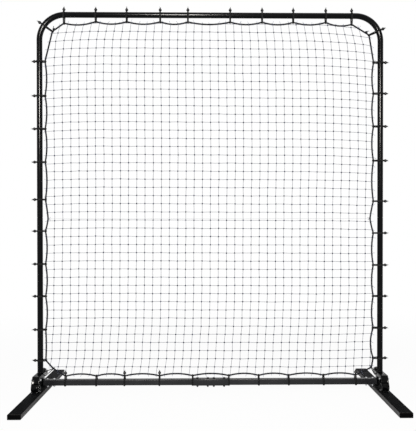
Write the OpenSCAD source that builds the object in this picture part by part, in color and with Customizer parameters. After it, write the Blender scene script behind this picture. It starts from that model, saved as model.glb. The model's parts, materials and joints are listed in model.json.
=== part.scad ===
// Pitch back rebounder: a tube frame on two folding legs, with a knotted net on ball bungees.
// Millimetres. Origin on the ground, midway between the legs' ends and sides; +Z up, +X to the
// right of someone who faces the net, +Y towards the back.

/* [Frame] */
// Outer width over the two uprights
frame_width = 1945; // [1500:5:2200]
// Height of the frame's top above the ground
frame_height = 2134; // [1700:2:2400]
// How far the frame stands behind the middle of the legs
frame_setback = 20; // [0:1:40]
// Outside diameter of the round tube
tube_d = 31.75; // [28:0.25:36]
// Wall of the round tube
tube_wall = 1.6; // [1.2:0.1:2.2]
// Centreline radius of the two top bends
bend_radius = 141; // [100:1:200]
// Straight ends of each bend
bend_tail = 60; // [60:1:80]
// Height of the joint halfway up each upright
upright_joint_z = 985; // [700:5:1300]
// Length of the swaged ends that plug the tubes together
swage_len = 55; // [40:1:58]
// Length over which a swaged end narrows
swage_neck = 3; // [2:0.5:6]
// Distance from each tube joint to its locking screw
joint_screw_offset = 22; // [12:1:30]
// Diameter of the locking screws
joint_screw_d = 5; // [4:0.5:6]

/* [Crossbar] */
// Side of the square bottom bar
bar_size = 32; // [28:1:36]
// Wall of the square bottom bar
bar_wall = 2; // [1.5:0.1:2.5]
// Outside corner radius of the square tubes
bar_corner = 3; // [2:0.5:4]
// Height of the bar's centre above the ground
bar_z = 59.5; // [56:0.5:70]
// Length of the sleeve that joins the two halves
sleeve_len = 195; // [170:1:260]
// Wall of the sleeve
sleeve_wall = 3; // [2:0.5:4]
// Distance of each inner bolt from the middle of the sleeve
sleeve_bolt_inner = 17; // [12:1:30]
// Distance of each outer bolt from the middle of the sleeve
sleeve_bolt_outer = 75; // [50:1:76]
// Diameter of the frame bolts
bolt_d = 8; // [6:1:10]
// Distance of the bar's inner end bolts from the upright's centreline
end_bolt_near = 40; // [38:0.5:44]
// Distance of the bar's outer end bolts from the upright's centreline
end_bolt_far = 78; // [66:0.5:84]

/* [Foot brackets] */
// Thickness of the bracket plates
plate = 4; // [3:0.5:5]
// Length of the bracket's arm in front of the upright
arm_front = 90; // [80:1:100]
// Length of the bracket's arm behind the upright
arm_rear = 78; // [76:1:100]
// Height of the arm's top face
arm_top = 112; // [108:1:125]
// Depth of the arm's side plates
arm_h = 20; // [16:1:22]
// Radius of the arm's corners
arm_corner = 4; // [2:0.5:6]
// Half width of the plate that carries the upright's foot
foot_half = 18; // [18:0.5:22]
// Radius of the hinge eyes
eye_r = 23.5; // [21:0.5:24]
// Height of the bolt through the upright's foot
foot_bolt_z = 84; // [84:0.5:90]
// Bolt that ties the two plates together, behind the arm's front end
tie_bolt_back = 14; // [12:1:20]
// Height of that bolt
tie_bolt_z = 92; // [90:0.5:98]

/* [Leg hinges] */
// Distance of the hinge pin in front of the upright
pivot_forward = 95; // [90:1:100]
// Outside diameter of the barrel on the leg
barrel_d = 48; // [44:1:50]
// Bore of the barrel
barrel_bore = 36; // [34:0.5:38]
// Outside diameter of the hollow hinge pin
axle_d = 30; // [26:0.5:31]
// Bore of the hinge pin
axle_bore = 24; // [18:0.5:25]
// How far the pin stands out of the bracket on each side
axle_proud = 1; // [0.5:0.5:3]
// Running clearance of the pin in its bushes, on the radius
pin_fit = 0.05; // [0.02:0.01:0.1]
// Thickness of the bush flanges
bush_flange = 2; // [1:0.5:3]
// Diameter of the bush flanges
bush_flange_d = 44; // [40:1:46]
// Length of each bush inside the barrel
bush_len = 11; // [6:0.5:12]
// Thickness of the saddle plate under the barrel
saddle = 2; // [1.5:0.5:3]
// Width of the saddle plate
saddle_w = 44; // [36:1:56]
// Length of the saddle plate
saddle_len = 62; // [56:1:80]

/* [Legs] */
// Length of a leg over its end caps
leg_len = 890; // [700:5:1200]
// Width of a leg
leg_w = 67; // [60:1:75]
// Height of a leg
leg_h = 26.4; // [24:0.2:28]
// Wall of the leg tube
leg_wall = 2; // [1.5:0.1:2.5]
// Corner radius of the leg tube
leg_corner = 3.5; // [2.5:0.5:5]
// Thickness of an end cap outside the tube
cap_t = 6; // [4:0.5:10]
// Depth of an end cap's plug inside the tube
cap_plug = 22; // [10:1:40]
// Chamfer round the outer edge of an end cap
cap_chamfer = 2; // [1:0.5:3]

/* [Level adjusters] */
// Distance of the adjuster behind the upright
adjuster_back = 58; // [50:1:62]
// Diameter of the adjuster screw
adjuster_d = 12; // [10:1:14]
// Diameter of the foot pad
pad_d = 30; // [24:1:34]
// Thickness of the foot pad
pad_h = 9; // [7:0.5:12]
// Diameter of the knob over its lobes
knob_d = 32; // [28:1:36]
// Height of the knob
knob_h = 12; // [9:0.5:16]
// Lobes round the knob
knob_lobes = 8; // [5:1:10]

/* [Net and ties] */
// Diameter of the border rope
rope_d = 6.5; // [5:0.5:8]
// Distance of the rope from the left upright's centreline, at a tie
rope_left = 30.5; // [28:0.5:45]
// Distance of the rope from the right upright's centreline, at a tie
rope_right = 38.5; // [28:0.5:45]
// Distance of the rope below the top rail's centreline, at a tie
rope_top = 37; // [30:0.5:50]
// Distance of the rope above the crossbar's centre, at a tie
rope_bottom = 34; // [31:0.5:45]
// How far the rope draws in between two ties on a side
sag_side = 9; // [4:0.5:14]
// How far the rope draws in between two ties on the top
sag_top = 14; // [6:0.5:18]
// How far the rope draws in between two ties on the bottom
sag_bottom = 12; // [6:0.5:18]
// Mesh of the net, knot to knot
mesh = 45.5; // [35:0.5:60]
// Every how many twines one is drawn
mesh_step = 3; // [3:1:4]
// Diameter of the drawn twine
twine_d = 2.5; // [2:0.5:4]
// Diameter of the bungee cord
cord_d = 4.5; // [3:0.5:6]
// Diameter of the bungee balls
ball_d = 17; // [14:1:20]
// Diameter of the hole in each ball
ball_bore = 6; // [4:0.5:7]

/* [Hidden] */

$fn = 48;
gap = 0.3;                // seat gap between pieces that only rest on each other
slip = 0.15;              // clearance of a plugged end, on the radius
hole_fit = 0.2;           // clearance of a bolt in its hole, on the radius
eps = 0.5;                // how far a cutter runs past the faces it cuts
bite = 0.993;             // how near a straight edge comes to its tangent, as a share of the radius
gloss_black = [0.07, 0.07, 0.08];
bar_grey = [0.16, 0.16, 0.18];
zinc = [0.62, 0.63, 0.65];
cord_black = [0.05, 0.05, 0.06];
net_grey = [0.3, 0.31, 0.35];
plastic_black = [0.04, 0.04, 0.04];

tube_r = tube_d / 2;
tube_bore_r = tube_r - tube_wall;
swage_r = tube_bore_r - slip;
upright_x = frame_width / 2 - tube_r;
top_z = frame_height - tube_r;
bend_z = top_z - bend_radius;                  // height of the bends' centres
bend_x = upright_x - bend_radius;              // distance of the bends' centres from the middle
rail_end_x = bend_x - bend_tail;
upright_top_z = bend_z - bend_tail;

// Foot bracket, seen from the side: y is measured from the upright's centre
cheek_gap = tube_d + 2 * gap;
bracket_w = cheek_gap + 2 * plate;
bracket_inner = bracket_w / 2;                 // distance of a cheek's outer face from the middle
arm_bottom = arm_top - arm_h;
bar_bottom = bar_z - bar_size / 2;
pivot_z = leg_h + saddle + barrel_d / 2;
upright_foot_z = bar_bottom + plate + gap;

// Bar stub on the bracket
stub_size = bar_size - 2 * bar_wall - 2 * gap;
stub_len = end_bolt_far - bracket_inner + 20;
bar_start = bracket_inner + gap;               // where the bar begins, from the upright's centre

bolt_r = bolt_d / 2;
bolt_head_r = bolt_d * 0.81;
bolt_head_h = bolt_d * 0.65;
nut_h = bolt_d * 0.8;
bolt_spare = 3.5;                              // thread beyond a nut
sleeve_size = bar_size + 2 * gap + 2 * sleeve_wall;

// Net border: rope path points are pairs [x, z] in the plane of the frame
ties = 10;                                     // to a side
first_tie_drop = 120;                          // topmost side ties, below the bends' centres
last_tie_z = 186;                              // lowest side ties, above the ground
end_tie_top = 4;                               // outermost top ties, past the bends' centres
end_tie_bottom = 137;                          // outermost bottom ties, from the uprights
// Ties are slid along by hand, so each is a little off its even pitch
left_shift = [0, -6, -5, -5, -29, -20, -19, -14, -16, -3];
right_shift = [0, 11, 12, 5, -38, -32, -27, -17, -11, 4];
top_shift = [0, -5, -14, -9, -36, 19, 16, 9, 10, -26];
bottom_shift = [4, -5, -29, -15, -10, 3, -3, -16, -1, -1];
ball_up = [1, 0, 1, 1, 0, 0, 0, 0, 0, 1];      // bottom ties whose ball sits above the rope
tie_clear = 9;                                 // least distance of a tie from a locking screw
top_end_drop = 10;                             // extra drop of the rope at the end ties
knot_drop = 57;                                // top corner knots, from the tube's centreline
knot_flat = 5;                                 // half the rope's straight run at those knots
corner_angle = [35, 24];                       // left and right corner ties above level
low_knot_x = [72, 48];                         // low corner knots, from the uprights
low_knot_z = 137;
low_tie_y = 30;                                // low corner ties, behind the uprights

rope_r = rope_d / 2;
rope_room = 0.8;                               // room of the rope in a bungee's end
tie_flat = 4;                                  // half the rope's straight run through a tie
cord_sides = 8;
joint_screw_z = upright_joint_z + joint_screw_offset;

function spread(i, a, b) = a + (b - a) * i / (ties - 1);
function apart(p, from, room) = abs(p - from) < room ? from + (p < from ? -room : room) : p;
function side_tie_z(i, shift) =
    apart(spread(i, bend_z - first_tie_drop, last_tie_z) + shift[i], joint_screw_z, tie_clear);
left_z = [for (i = [0 : ties - 1]) side_tie_z(i, left_shift)];
right_z = [for (i = [0 : ties - 1]) side_tie_z(i, right_shift)];
top_reach = bend_x + end_tie_top;
bottom_reach = upright_x - end_tie_bottom;
top_x = [for (i = [0 : ties - 1])
    apart(spread(i, -top_reach, top_reach) + top_shift[i], joint_screw_offset, tie_clear)];
bottom_x = [for (i = [0 : ties - 1])
    apart(spread(i, -bottom_reach, bottom_reach) + bottom_shift[i], 0, sleeve_len / 2 + cord_d)];

function end_tie(i) = i == 0 || i == ties - 1;
function between(list, i) = (list[i] + list[i + 1]) / 2;
left_rope_x = -upright_x + rope_left;
right_rope_x = upright_x - rope_right;
low_rope_z = bar_z + rope_bottom;
function top_rope_z(i) = top_z - rope_top - (end_tie(i) ? top_end_drop : 0);
knot_r = bend_radius - knot_drop;
// Point at a top corner knot, which lies along the rope by the given amount
function corner_point(side, along) =
    let (a = corner_angle[side < 0 ? 0 : 1])
    [side * (bend_x + knot_r * cos(a) - along * sin(a)), bend_z + knot_r * sin(a) + along * cos(a)];

function low_knot(side) = [side * (upright_x - low_knot_x[side < 0 ? 0 : 1]), low_knot_z];

// The rope's path runs clockwise, from the lowest left tie
rope_path = [
    for (i = [ties - 1 : -1 : 0]) each [
        [left_rope_x, left_z[i] - tie_flat], [left_rope_x, left_z[i] + tie_flat],
        if (i > 0) [left_rope_x + sag_side, between(left_z, i - 1)]],
    corner_point(-1, -knot_flat), corner_point(-1, knot_flat),
    for (i = [0 : ties - 1]) each [
        [top_x[i] - tie_flat, top_rope_z(i)], [top_x[i] + tie_flat, top_rope_z(i)],
        if (i < ties - 1) [between(top_x, i), top_z - rope_top - sag_top]],
    corner_point(1, knot_flat), corner_point(1, -knot_flat),
    for (i = [0 : ties - 1]) each [
        [right_rope_x, right_z[i] + tie_flat], [right_rope_x, right_z[i] - tie_flat],
        if (i < ties - 1) [right_rope_x - sag_side, between(right_z, i)]],
    low_knot(1),
    for (i = [ties - 1 : -1 : 0]) each [
        [bottom_x[i] + tie_flat, low_rope_z], [bottom_x[i] - tie_flat, low_rope_z],
        if (i > 0) [between(bottom_x, i - 1), low_rope_z + sag_bottom]],
    low_knot(-1)
];

// Unit directions along a closed path, before, after and at its point i
function unit(v) = v / norm(v);
function way_in(p, i) = unit(p[i] - p[(i + len(p) - 1) % len(p)]);
function way_out(p, i) = unit(p[(i + 1) % len(p)] - p[i]);
function way_at(p, i) = unit(way_in(p, i) + way_out(p, i));

// Mitred inward offset of a closed clockwise path of [x, z] points
function inset(p, d) = [for (i = [0 : len(p) - 1])
    let (t = way_at(p, i)) p[i] + [t[1], -t[0]] * d / (t * way_in(p, i))];

// ---------------------------------------------------------------- shared shapes

module mirrored(side) {
    mirror([side < 0 ? 1 : 0, 0, 0]) children();
}

// Round tube along +Z from start to end, swaged past its end, and past its start too if both
module tube(start, end, both = false) {
    plug_bore_r = swage_r - tube_wall;
    low_plug = start - swage_len;
    high_plug = end + swage_len;
    foot = both
        ? [[tube_bore_r, start + swage_neck], [plug_bore_r, start], [plug_bore_r, low_plug],
           [swage_r, low_plug], [swage_r, start], [tube_r, start + swage_neck]]
        : [[tube_bore_r, start], [tube_r, start]];
    rotate_extrude()
        polygon(concat(foot,
            [[tube_r, end - swage_neck], [swage_r, end], [swage_r, high_plug],
             [plug_bore_r, high_plug], [plug_bore_r, end], [tube_bore_r, end - swage_neck]]));
}

// Hole in the rear wall for a locking screw, at height z of a tube along +Z
module screw_hole(z) {
    translate([0, 0, z]) rotate([-90, 0, 0])
        cylinder(r = joint_screw_d / 2 + hole_fit, h = tube_r + eps);
}

module rounded_square(w, h, r) {
    square([w - 2 * r, h], center = true);
    square([w, h - 2 * r], center = true);
    for (x = [-1, 1], y = [-1, 1])
        translate([x * (w / 2 - r), y * (h / 2 - r)]) circle(r = r);
}

// Square or flat tube profile
module tube_profile(w, h, wall, r) {
    difference() {
        rounded_square(w, h, r);
        rounded_square(w - 2 * wall, h - 2 * wall, max(r - wall, 0.5));
    }
}

// Hex bolt along -Z with its head on z = 0 and a plain shank below
module hex_bolt(length) {
    cylinder(r = bolt_head_r, h = bolt_head_h, $fn = 6);
    translate([0, 0, -length]) cylinder(r = bolt_r, h = length);
}

// Hex nut that hangs below z = 0
module hex_nut() {
    translate([0, 0, -nut_h]) difference() {
        cylinder(r = bolt_head_r, h = nut_h, $fn = 6);
        translate([0, 0, -eps]) cylinder(r = bolt_r + pin_fit, h = nut_h + 2 * eps);
    }
}

// Direction of the outer tangent from one circle to the next, for circles listed anticlockwise
function tangent_way(c, r, i) =
    let (j = (i + 1) % len(c), d = c[j] - c[i])
    atan2(d[1], d[0]) - acos((r[i] - r[j]) / norm(d));
function tangent_end(c, r, i, way) = c[i] + bite * r[i] * [cos(way), sin(way)];

// Outline of a strap pulled tight round circles with centres c and radii r
module strap_outline(c, r) {
    for (i = [0 : len(c) - 1])
        translate(c[i]) circle(r = r[i]);
    polygon([for (i = [0 : len(c) - 1])
        let (way = tangent_way(c, r, i))
        each [tangent_end(c, r, i, way), tangent_end(c, r, (i + 1) % len(c), way)]]);
}

// ---------------------------------------------------------------- round tube frame

module top_rail(side) {
    color(gloss_black)
        translate([0, frame_setback, top_z]) rotate([0, side * 90, 0])
            difference() {
                tube(side < 0 ? 0 : gap, rail_end_x, side < 0);
                screw_hole(side * joint_screw_offset);
                screw_hole(rail_end_x + joint_screw_offset);
            }
}

module corner_bend(side) {
    color(gloss_black)
        mirrored(side) translate([bend_x, frame_setback, bend_z])
            difference() {
                bend_solid(tube_r, 0);
                bend_solid(tube_bore_r, eps);
                translate([bend_radius, 0, -bend_tail]) screw_hole(joint_screw_offset);
                translate([-bend_tail, 0, bend_radius]) rotate([0, 90, 0])
                    screw_hole(joint_screw_offset);
            }
}

module bend_solid(r, past) {
    tail = bend_tail - gap + past;
    rotate([90, 0, 0]) rotate_extrude(angle = 90) translate([bend_radius, 0]) circle(r = r);
    translate([bend_radius, 0, -tail]) cylinder(r = r, h = tail);
    translate([-tail, 0, bend_radius]) rotate([0, 90, 0]) cylinder(r = r, h = tail);
}

module upper_upright(side) {
    color(gloss_black)
        translate([side * upright_x, frame_setback, 0])
            difference() {
                tube(upright_joint_z + gap, upright_top_z);
                screw_hole(joint_screw_z);
                screw_hole(upright_top_z + joint_screw_offset);
            }
}

module lower_upright(side) {
    color(gloss_black)
        translate([side * upright_x, frame_setback, 0])
            difference() {
                tube(upright_foot_z, upright_joint_z);
                screw_hole(joint_screw_z);
                translate([0, 0, foot_bolt_z]) rotate([0, 90, 0])
                    cylinder(r = bolt_r + hole_fit, h = tube_d + 2 * eps, center = true);
            }
}

// Domed screw whose shank points along -Y, with the head seated at y = 0
module locking_screw() {
    shank = 2 * tube_wall + slip + 2;
    rotate([-90, 0, 0]) {
        translate([0, 0, -shank]) cylinder(d = joint_screw_d, h = shank);
        intersection() {
            cylinder(d = joint_screw_d * 2, h = joint_screw_d * 0.5);
            translate([0, 0, -joint_screw_d]) sphere(r = joint_screw_d * 1.5);
        }
    }
}

module joint_screws() {
    color(zinc)
        translate([0, frame_setback + tube_r, 0]) {
            translate([joint_screw_offset, 0, top_z]) locking_screw();
            for (side = [-1, 1]) {
                translate([side * (rail_end_x + joint_screw_offset), 0, top_z]) locking_screw();
                for (z = [joint_screw_z, upright_top_z + joint_screw_offset])
                    translate([side * upright_x, 0, z]) locking_screw();
            }
        }
}

// ---------------------------------------------------------------- crossbar

module bar_bolt_holes(xs) {
    for (x = xs) translate([x, 0, 0])
        cylinder(r = bolt_r + hole_fit, h = 2 * bar_size, center = true);
}

module crossbar(side) {
    length = upright_x - bar_start - gap;
    color(bar_grey)
        mirrored(side) translate([0, frame_setback, bar_z])
            difference() {
                translate([gap, 0, 0]) rotate([90, 0, 90])
                    linear_extrude(length) tube_profile(bar_size, bar_size, bar_wall, bar_corner);
                bar_bolt_holes([sleeve_bolt_inner, sleeve_bolt_outer,
                                upright_x - end_bolt_near, upright_x - end_bolt_far]);
            }
}

module crossbar_sleeve() {
    color(bar_grey)
        translate([0, frame_setback, bar_z])
            difference() {
                translate([-sleeve_len / 2, 0, 0]) rotate([90, 0, 90])
                    linear_extrude(sleeve_len)
                        tube_profile(sleeve_size, sleeve_size, sleeve_wall, bar_corner + sleeve_wall);
                bar_bolt_holes([-sleeve_bolt_outer, -sleeve_bolt_inner,
                                sleeve_bolt_inner, sleeve_bolt_outer]);
            }
}

sleeve_bolt_xs = [-sleeve_bolt_outer, -sleeve_bolt_inner, sleeve_bolt_inner, sleeve_bolt_outer];
end_bolt_xs = [for (side = [-1, 1], x = [end_bolt_near, end_bolt_far]) side * (upright_x - x)];

// Bolts down through a square tube of the given size, with their nuts' room below
module bolts_through(xs, size) {
    for (x = xs) translate([x, frame_setback, bar_z + size / 2])
        hex_bolt(size + nut_h + bolt_spare);
}

module nuts_below(xs, size) {
    for (x = xs) translate([x, frame_setback, bar_z - size / 2]) hex_nut();
}

module sleeve_bolts() { color(gloss_black) bolts_through(sleeve_bolt_xs, sleeve_size); }
module sleeve_nuts() { color(gloss_black) nuts_below(sleeve_bolt_xs, sleeve_size); }
module crossbar_end_bolts() { color(zinc) bolts_through(end_bolt_xs, bar_size); }
module crossbar_end_nuts() { color(zinc) nuts_below(end_bolt_xs, bar_size); }

// ---------------------------------------------------------------- foot brackets

pivot = [-pivot_forward, pivot_z];
neck_r = arm_corner - 0.4;
neck_centres = [pivot, [-arm_front + 26, arm_bottom + arm_corner],
                [-arm_front + arm_corner, arm_top - arm_corner]];
neck_radii = [eye_r, neck_r, neck_r];

// Side plate in the plane [y, z]: an arm, a neck down to the hinge eye, and the upright's foot
module cheek_outline() {
    translate([(arm_rear - arm_front) / 2, (arm_top + arm_bottom) / 2])
        rounded_square(arm_front + arm_rear, arm_h, arm_corner);
    strap_outline(neck_centres, neck_radii);
    translate([-foot_half, bar_bottom]) square([2 * foot_half, arm_top - bar_bottom - arm_corner]);
}

// Front web: a strip just inside the neck's front edge, clear of the barrel
module web_outline() {
    way = tangent_way(neck_centres, neck_radii, 2);
    high = neck_centres[2] + (neck_r - gap) * [cos(way), sin(way)];
    low = pivot + (eye_r - gap) * [cos(way), sin(way)];
    difference() {
        polygon([high, low, low + [plate, 0], high + [plate, 0]]);
        translate([-arm_front - barrel_d, 0]) square([2 * barrel_d, pivot_z + barrel_d / 2 + 2]);
    }
}

// Extrudes a [y, z] outline along X, centred
module along_x(w) {
    translate([-w / 2, 0, 0]) rotate([90, 0, 90]) linear_extrude(w) children();
}

module bracket_bolt_holes() {
    for (p = [[0, foot_bolt_z], [-arm_front + tie_bolt_back, tie_bolt_z]])
        translate([0, p[0], p[1]]) rotate([0, 90, 0])
            cylinder(r = bolt_r + hole_fit, h = bracket_w + 2 * eps, center = true);
}

// Bracket for the right side, centred on the upright's foot
module foot_bracket_shape() {
    difference() {
        union() {
            for (s = [-1, 1])
                translate([s * (cheek_gap + plate) / 2, 0, 0]) along_x(plate) cheek_outline();
            translate([-cheek_gap / 2 - eps, -arm_front + arm_corner, arm_top - plate])
                cube([cheek_gap + 2 * eps, arm_front + arm_rear - 2 * arm_corner, plate]);
            along_x(cheek_gap + 2 * eps) web_outline();
            translate([-cheek_gap / 2 - eps, -foot_half, bar_bottom])
                cube([cheek_gap + 2 * eps, 2 * foot_half, plate]);
            translate([-cheek_gap / 2 - eps, adjuster_back - adjuster_d, arm_bottom])
                cube([cheek_gap + 2 * eps, 2 * adjuster_d, arm_h - plate + eps]);
            translate([-bracket_inner - stub_len, 0, bar_z]) rotate([90, 0, 90])
                linear_extrude(stub_len + eps)
                    tube_profile(stub_size, stub_size, bar_wall + 0.5, bar_corner);
        }
        translate([0, 0, arm_bottom]) cylinder(r = tube_r + slip, h = arm_h + eps);
        translate([0, adjuster_back, arm_bottom - eps])
            cylinder(r = adjuster_d / 2 + pin_fit, h = arm_h + 2 * eps);
        translate([0, -pivot_forward, pivot_z]) rotate([0, 90, 0])
            cylinder(r = axle_d / 2 + pin_fit, h = bracket_w + 2 * eps, center = true);
        bracket_bolt_holes();
        for (x = [end_bolt_near, end_bolt_far]) translate([-x, 0, bar_z])
            cylinder(r = bolt_r + hole_fit, h = bar_size, center = true);
    }
}

module at_upright(side) {
    translate([side * upright_x, frame_setback, 0]) mirrored(side) children();
}

module foot_bracket(side) {
    color(gloss_black) at_upright(side) foot_bracket_shape();
}

// Where the two cross bolts of a bracket pass, from the inner side to the outer
module each_bracket_bolt() {
    for (side = [-1, 1], p = [[0, foot_bolt_z], [-arm_front + tie_bolt_back, tie_bolt_z]])
        at_upright(side) translate([0, p[0], p[1]]) children();
}

module bracket_bolts() {
    color(zinc) each_bracket_bolt()
        translate([-bracket_inner, 0, 0]) rotate([0, -90, 0])
            hex_bolt(bracket_w + nut_h + bolt_spare);
}

module bracket_nuts() {
    color(zinc) each_bracket_bolt()
        translate([bracket_inner, 0, 0]) rotate([0, -90, 0]) hex_nut();
}

module hinge_pin(side) {
    length = bracket_w + 2 * axle_proud;
    color(gloss_black)
        at_upright(side) translate([0, -pivot_forward, pivot_z]) rotate([0, 90, 0])
            difference() {
                cylinder(d = axle_d, h = length, center = true);
                cylinder(d = axle_bore, h = length + 2 * eps, center = true);
            }
}

// ---------------------------------------------------------------- legs and their hinges

barrel_len = cheek_gap - 2 * (bush_flange + gap);

// Saddle plate seen from above: square behind, round in front
module saddle_outline() {
    nose = saddle_w / 2;
    translate([-saddle_w / 2, nose - saddle_len / 2]) square([saddle_w, saddle_len - nose]);
    translate([0, nose - saddle_len / 2]) circle(r = nose);
}

module hinge_barrel(side) {
    weld = barrel_d * 0.3;
    color(gloss_black)
        at_upright(side) translate([0, -pivot_forward, 0]) {
            difference() {
                union() {
                    translate([0, 0, leg_h]) linear_extrude(saddle) saddle_outline();
                    translate([0, 0, pivot_z]) rotate([0, 90, 0])
                        cylinder(d = barrel_d, h = barrel_len, center = true);
                    along_x(barrel_len)
                        polygon([[-weld, leg_h + saddle / 2], [weld, leg_h + saddle / 2],
                                 [weld * 0.7, pivot_z - barrel_d * 0.4],
                                 [-weld * 0.7, pivot_z - barrel_d * 0.4]]);
                }
                translate([0, 0, pivot_z]) rotate([0, 90, 0])
                    cylinder(d = barrel_bore, h = barrel_len + 2 * eps, center = true);
            }
        }
}

// Flanged plain bushes, one pushed into each end of the barrel
module hinge_bushes(side) {
    color(plastic_black)
        at_upright(side) translate([0, -pivot_forward, pivot_z])
            for (s = [-1, 1]) mirror([s < 0 ? 1 : 0, 0, 0])
                translate([barrel_len / 2, 0, 0]) rotate([0, 90, 0])
                    difference() {
                        union() {
                            cylinder(d = bush_flange_d, h = bush_flange);
                            translate([0, 0, -bush_len])
                                cylinder(r = barrel_bore / 2 - pin_fit, h = bush_len + eps);
                        }
                        translate([0, 0, -bush_len - eps])
                            cylinder(r = axle_d / 2 + pin_fit, h = bush_len + bush_flange + 2 * eps);
                    }
}

tube_len = leg_len - 2 * cap_t;

module leg(side) {
    color(gloss_black)
        translate([side * upright_x, tube_len / 2, leg_h / 2]) rotate([90, 0, 0])
            linear_extrude(tube_len) tube_profile(leg_w, leg_h, leg_wall, leg_corner);
}

// End cap with its outer face towards -Y at y = 0: a chamfered plate and a hollow plug
module leg_cap() {
    c = cap_chamfer;
    plug_w = leg_w - 2 * leg_wall - 2 * gap;
    plug_h = leg_h - 2 * leg_wall - 2 * gap;
    intersection() {
        translate([0, cap_t, 0]) rotate([90, 0, 0])
            linear_extrude(cap_t) rounded_square(leg_w, leg_h, leg_corner);
        along_x(leg_w + 2)
            polygon([[c, -leg_h / 2], [cap_t, -leg_h / 2], [cap_t, leg_h / 2], [c, leg_h / 2],
                     [0, leg_h / 2 - c], [0, c - leg_h / 2]]);
        translate([0, 0, -leg_h / 2 - 1]) linear_extrude(leg_h + 2)
            polygon([[-leg_w / 2, c], [-leg_w / 2, cap_t], [leg_w / 2, cap_t], [leg_w / 2, c],
                     [leg_w / 2 - c, 0], [c - leg_w / 2, 0]]);
    }
    translate([0, cap_t + cap_plug, 0]) rotate([90, 0, 0])
        linear_extrude(cap_plug + eps) tube_profile(plug_w, plug_h, leg_wall, leg_corner - 1);
}

module leg_caps(side) {
    color(plastic_black)
        for (end = [0, 180])
            translate([side * upright_x, 0, leg_h / 2]) rotate([0, 0, end])
                translate([0, -leg_len / 2, 0]) leg_cap();
}

// ---------------------------------------------------------------- level adjusters

tip_r = adjuster_d / 3;                        // turned-down tip that swivels in the pad
tip_h = pad_h * 0.6;
pad_z = leg_h + gap;
knob_z = arm_top + 1.5;

module at_adjuster(side) {
    at_upright(side) translate([0, adjuster_back, 0]) children();
}

module adjuster_pad(side) {
    color(plastic_black)
        at_adjuster(side) translate([0, 0, pad_z])
            difference() {
                rotate_extrude()
                    polygon([[0, 0], [pad_d / 2 - 1, 0], [pad_d / 2, 1], [pad_d / 2, pad_h * 0.4],
                             [adjuster_d / 2 + 2, pad_h], [0, pad_h]]);
                translate([0, 0, pad_h - tip_h - gap])
                    cylinder(r = tip_r + pin_fit, h = tip_h + gap + eps);
            }
}

module adjuster_screw(side) {
    shoulder = pad_z + pad_h + gap;
    color(zinc)
        at_adjuster(side) {
            translate([0, 0, shoulder - tip_h - gap]) cylinder(r = tip_r, h = tip_h + gap + eps);
            translate([0, 0, shoulder]) cylinder(d = adjuster_d, h = knob_z + knob_h * 0.7 - shoulder);
        }
}

module adjuster_knob(side) {
    lobe_r = knob_d * 0.13;
    color(plastic_black)
        at_adjuster(side) translate([0, 0, knob_z])
            difference() {
                intersection() {
                    linear_extrude(knob_h) {
                        circle(r = knob_d / 2 - lobe_r);
                        for (i = [0 : knob_lobes - 1]) rotate(i * 360 / knob_lobes)
                            translate([knob_d / 2 - lobe_r, 0]) circle(r = lobe_r);
                    }
                    translate([0, 0, knob_h - knob_d]) sphere(r = knob_d);
                }
                translate([0, 0, -eps])
                    cylinder(r = adjuster_d / 2 + pin_fit, h = knob_h * 0.7 + gap + eps);
            }
}

// ---------------------------------------------------------------- net, rope and ties

// Places a [x, z] outline in the frame's plane, with the given thickness
module in_frame_plane(t) {
    translate([0, frame_setback + t / 2, 0]) rotate([90, 0, 0]) linear_extrude(t) children();
}

// Round cord of radius r along a closed path; across is a direction out of the path's plane
module cord_loop(path, r, across) {
    n = len(path);
    points = [for (i = [0 : n - 1])
        let (t = way_at(path, i), side = unit(cross(t, across)), up = cross(side, t),
             stretch = 1 / (t * way_in(path, i)))
        for (k = [0 : cord_sides - 1])
            let (a = k * 360 / cord_sides) path[i] + r * (stretch * cos(a) * side + sin(a) * up)];
    faces = [for (i = [0 : n - 1], k = [0 : cord_sides - 1])
        let (j = (i + 1) % n, m = (k + 1) % cord_sides,
             a = i * cord_sides + k, b = i * cord_sides + m,
             c = j * cord_sides + m, d = j * cord_sides + k)
        each [[a, b, c], [a, c, d]]];
    polyhedron(points, faces);
}

module border_rope() {
    color(cord_black)
        cord_loop([for (p = rope_path) [p[0], frame_setback, p[1]]], rope_r, [0, 1, 0]);
}

mesh_pitch = mesh * mesh_step;
net_edge = inset(rope_path, rope_r + gap);
columns = ceil(upright_x / mesh_pitch);
rows = ceil(frame_height / mesh_pitch);
net_middle_z = (top_z + bar_z) / 2 - 5;
loop_room = rope_r + rope_room + cord_d + 1;   // room of a bungee's end inside the rope

module net() {
    color(net_grey) in_frame_plane(twine_d)
        difference() {
            intersection() {
                polygon(net_edge);
                union() {
                    for (i = [-columns : columns - 1])
                        translate([(i + 0.5) * mesh_pitch - twine_d / 2, 0])
                            square([twine_d, frame_height]);
                    for (i = [-rows : rows - 1])
                        translate([-upright_x, net_middle_z + (i + 0.5) * mesh_pitch - twine_d / 2])
                            square([2 * upright_x, twine_d]);
                }
            }
            for (z = left_z)
                translate([left_rope_x, z]) square([2 * loop_room, 2 * cord_d], center = true);
            for (z = right_z)
                translate([right_rope_x, z]) square([2 * loop_room, 2 * cord_d], center = true);
            for (i = [0 : ties - 1]) {
                translate([top_x[i], top_rope_z(i)])
                    square([2 * cord_d, 2 * loop_room], center = true);
                ball_room = ball_up[i] * (ball_d + 1);
                translate([bottom_x[i], low_rope_z])
                    square([max(2 * cord_d, ball_room), 2 * (loop_room + ball_room)], center = true);
            }
            for (side = [-1, 1]) {
                translate(corner_point(side, 0)) circle(r = loop_room);
                translate(low_knot(side)) circle(r = loop_room);
            }
        }
}

rope_end_r = rope_r + rope_room;
ball_r = ball_d / 2;
ball_half = sqrt(ball_r * ball_r - ball_bore * ball_bore / 4);   // along the bore
ball_out = tube_r + gap + cord_d + gap + ball_half;    // ball's centre from the tube's centreline

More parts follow.
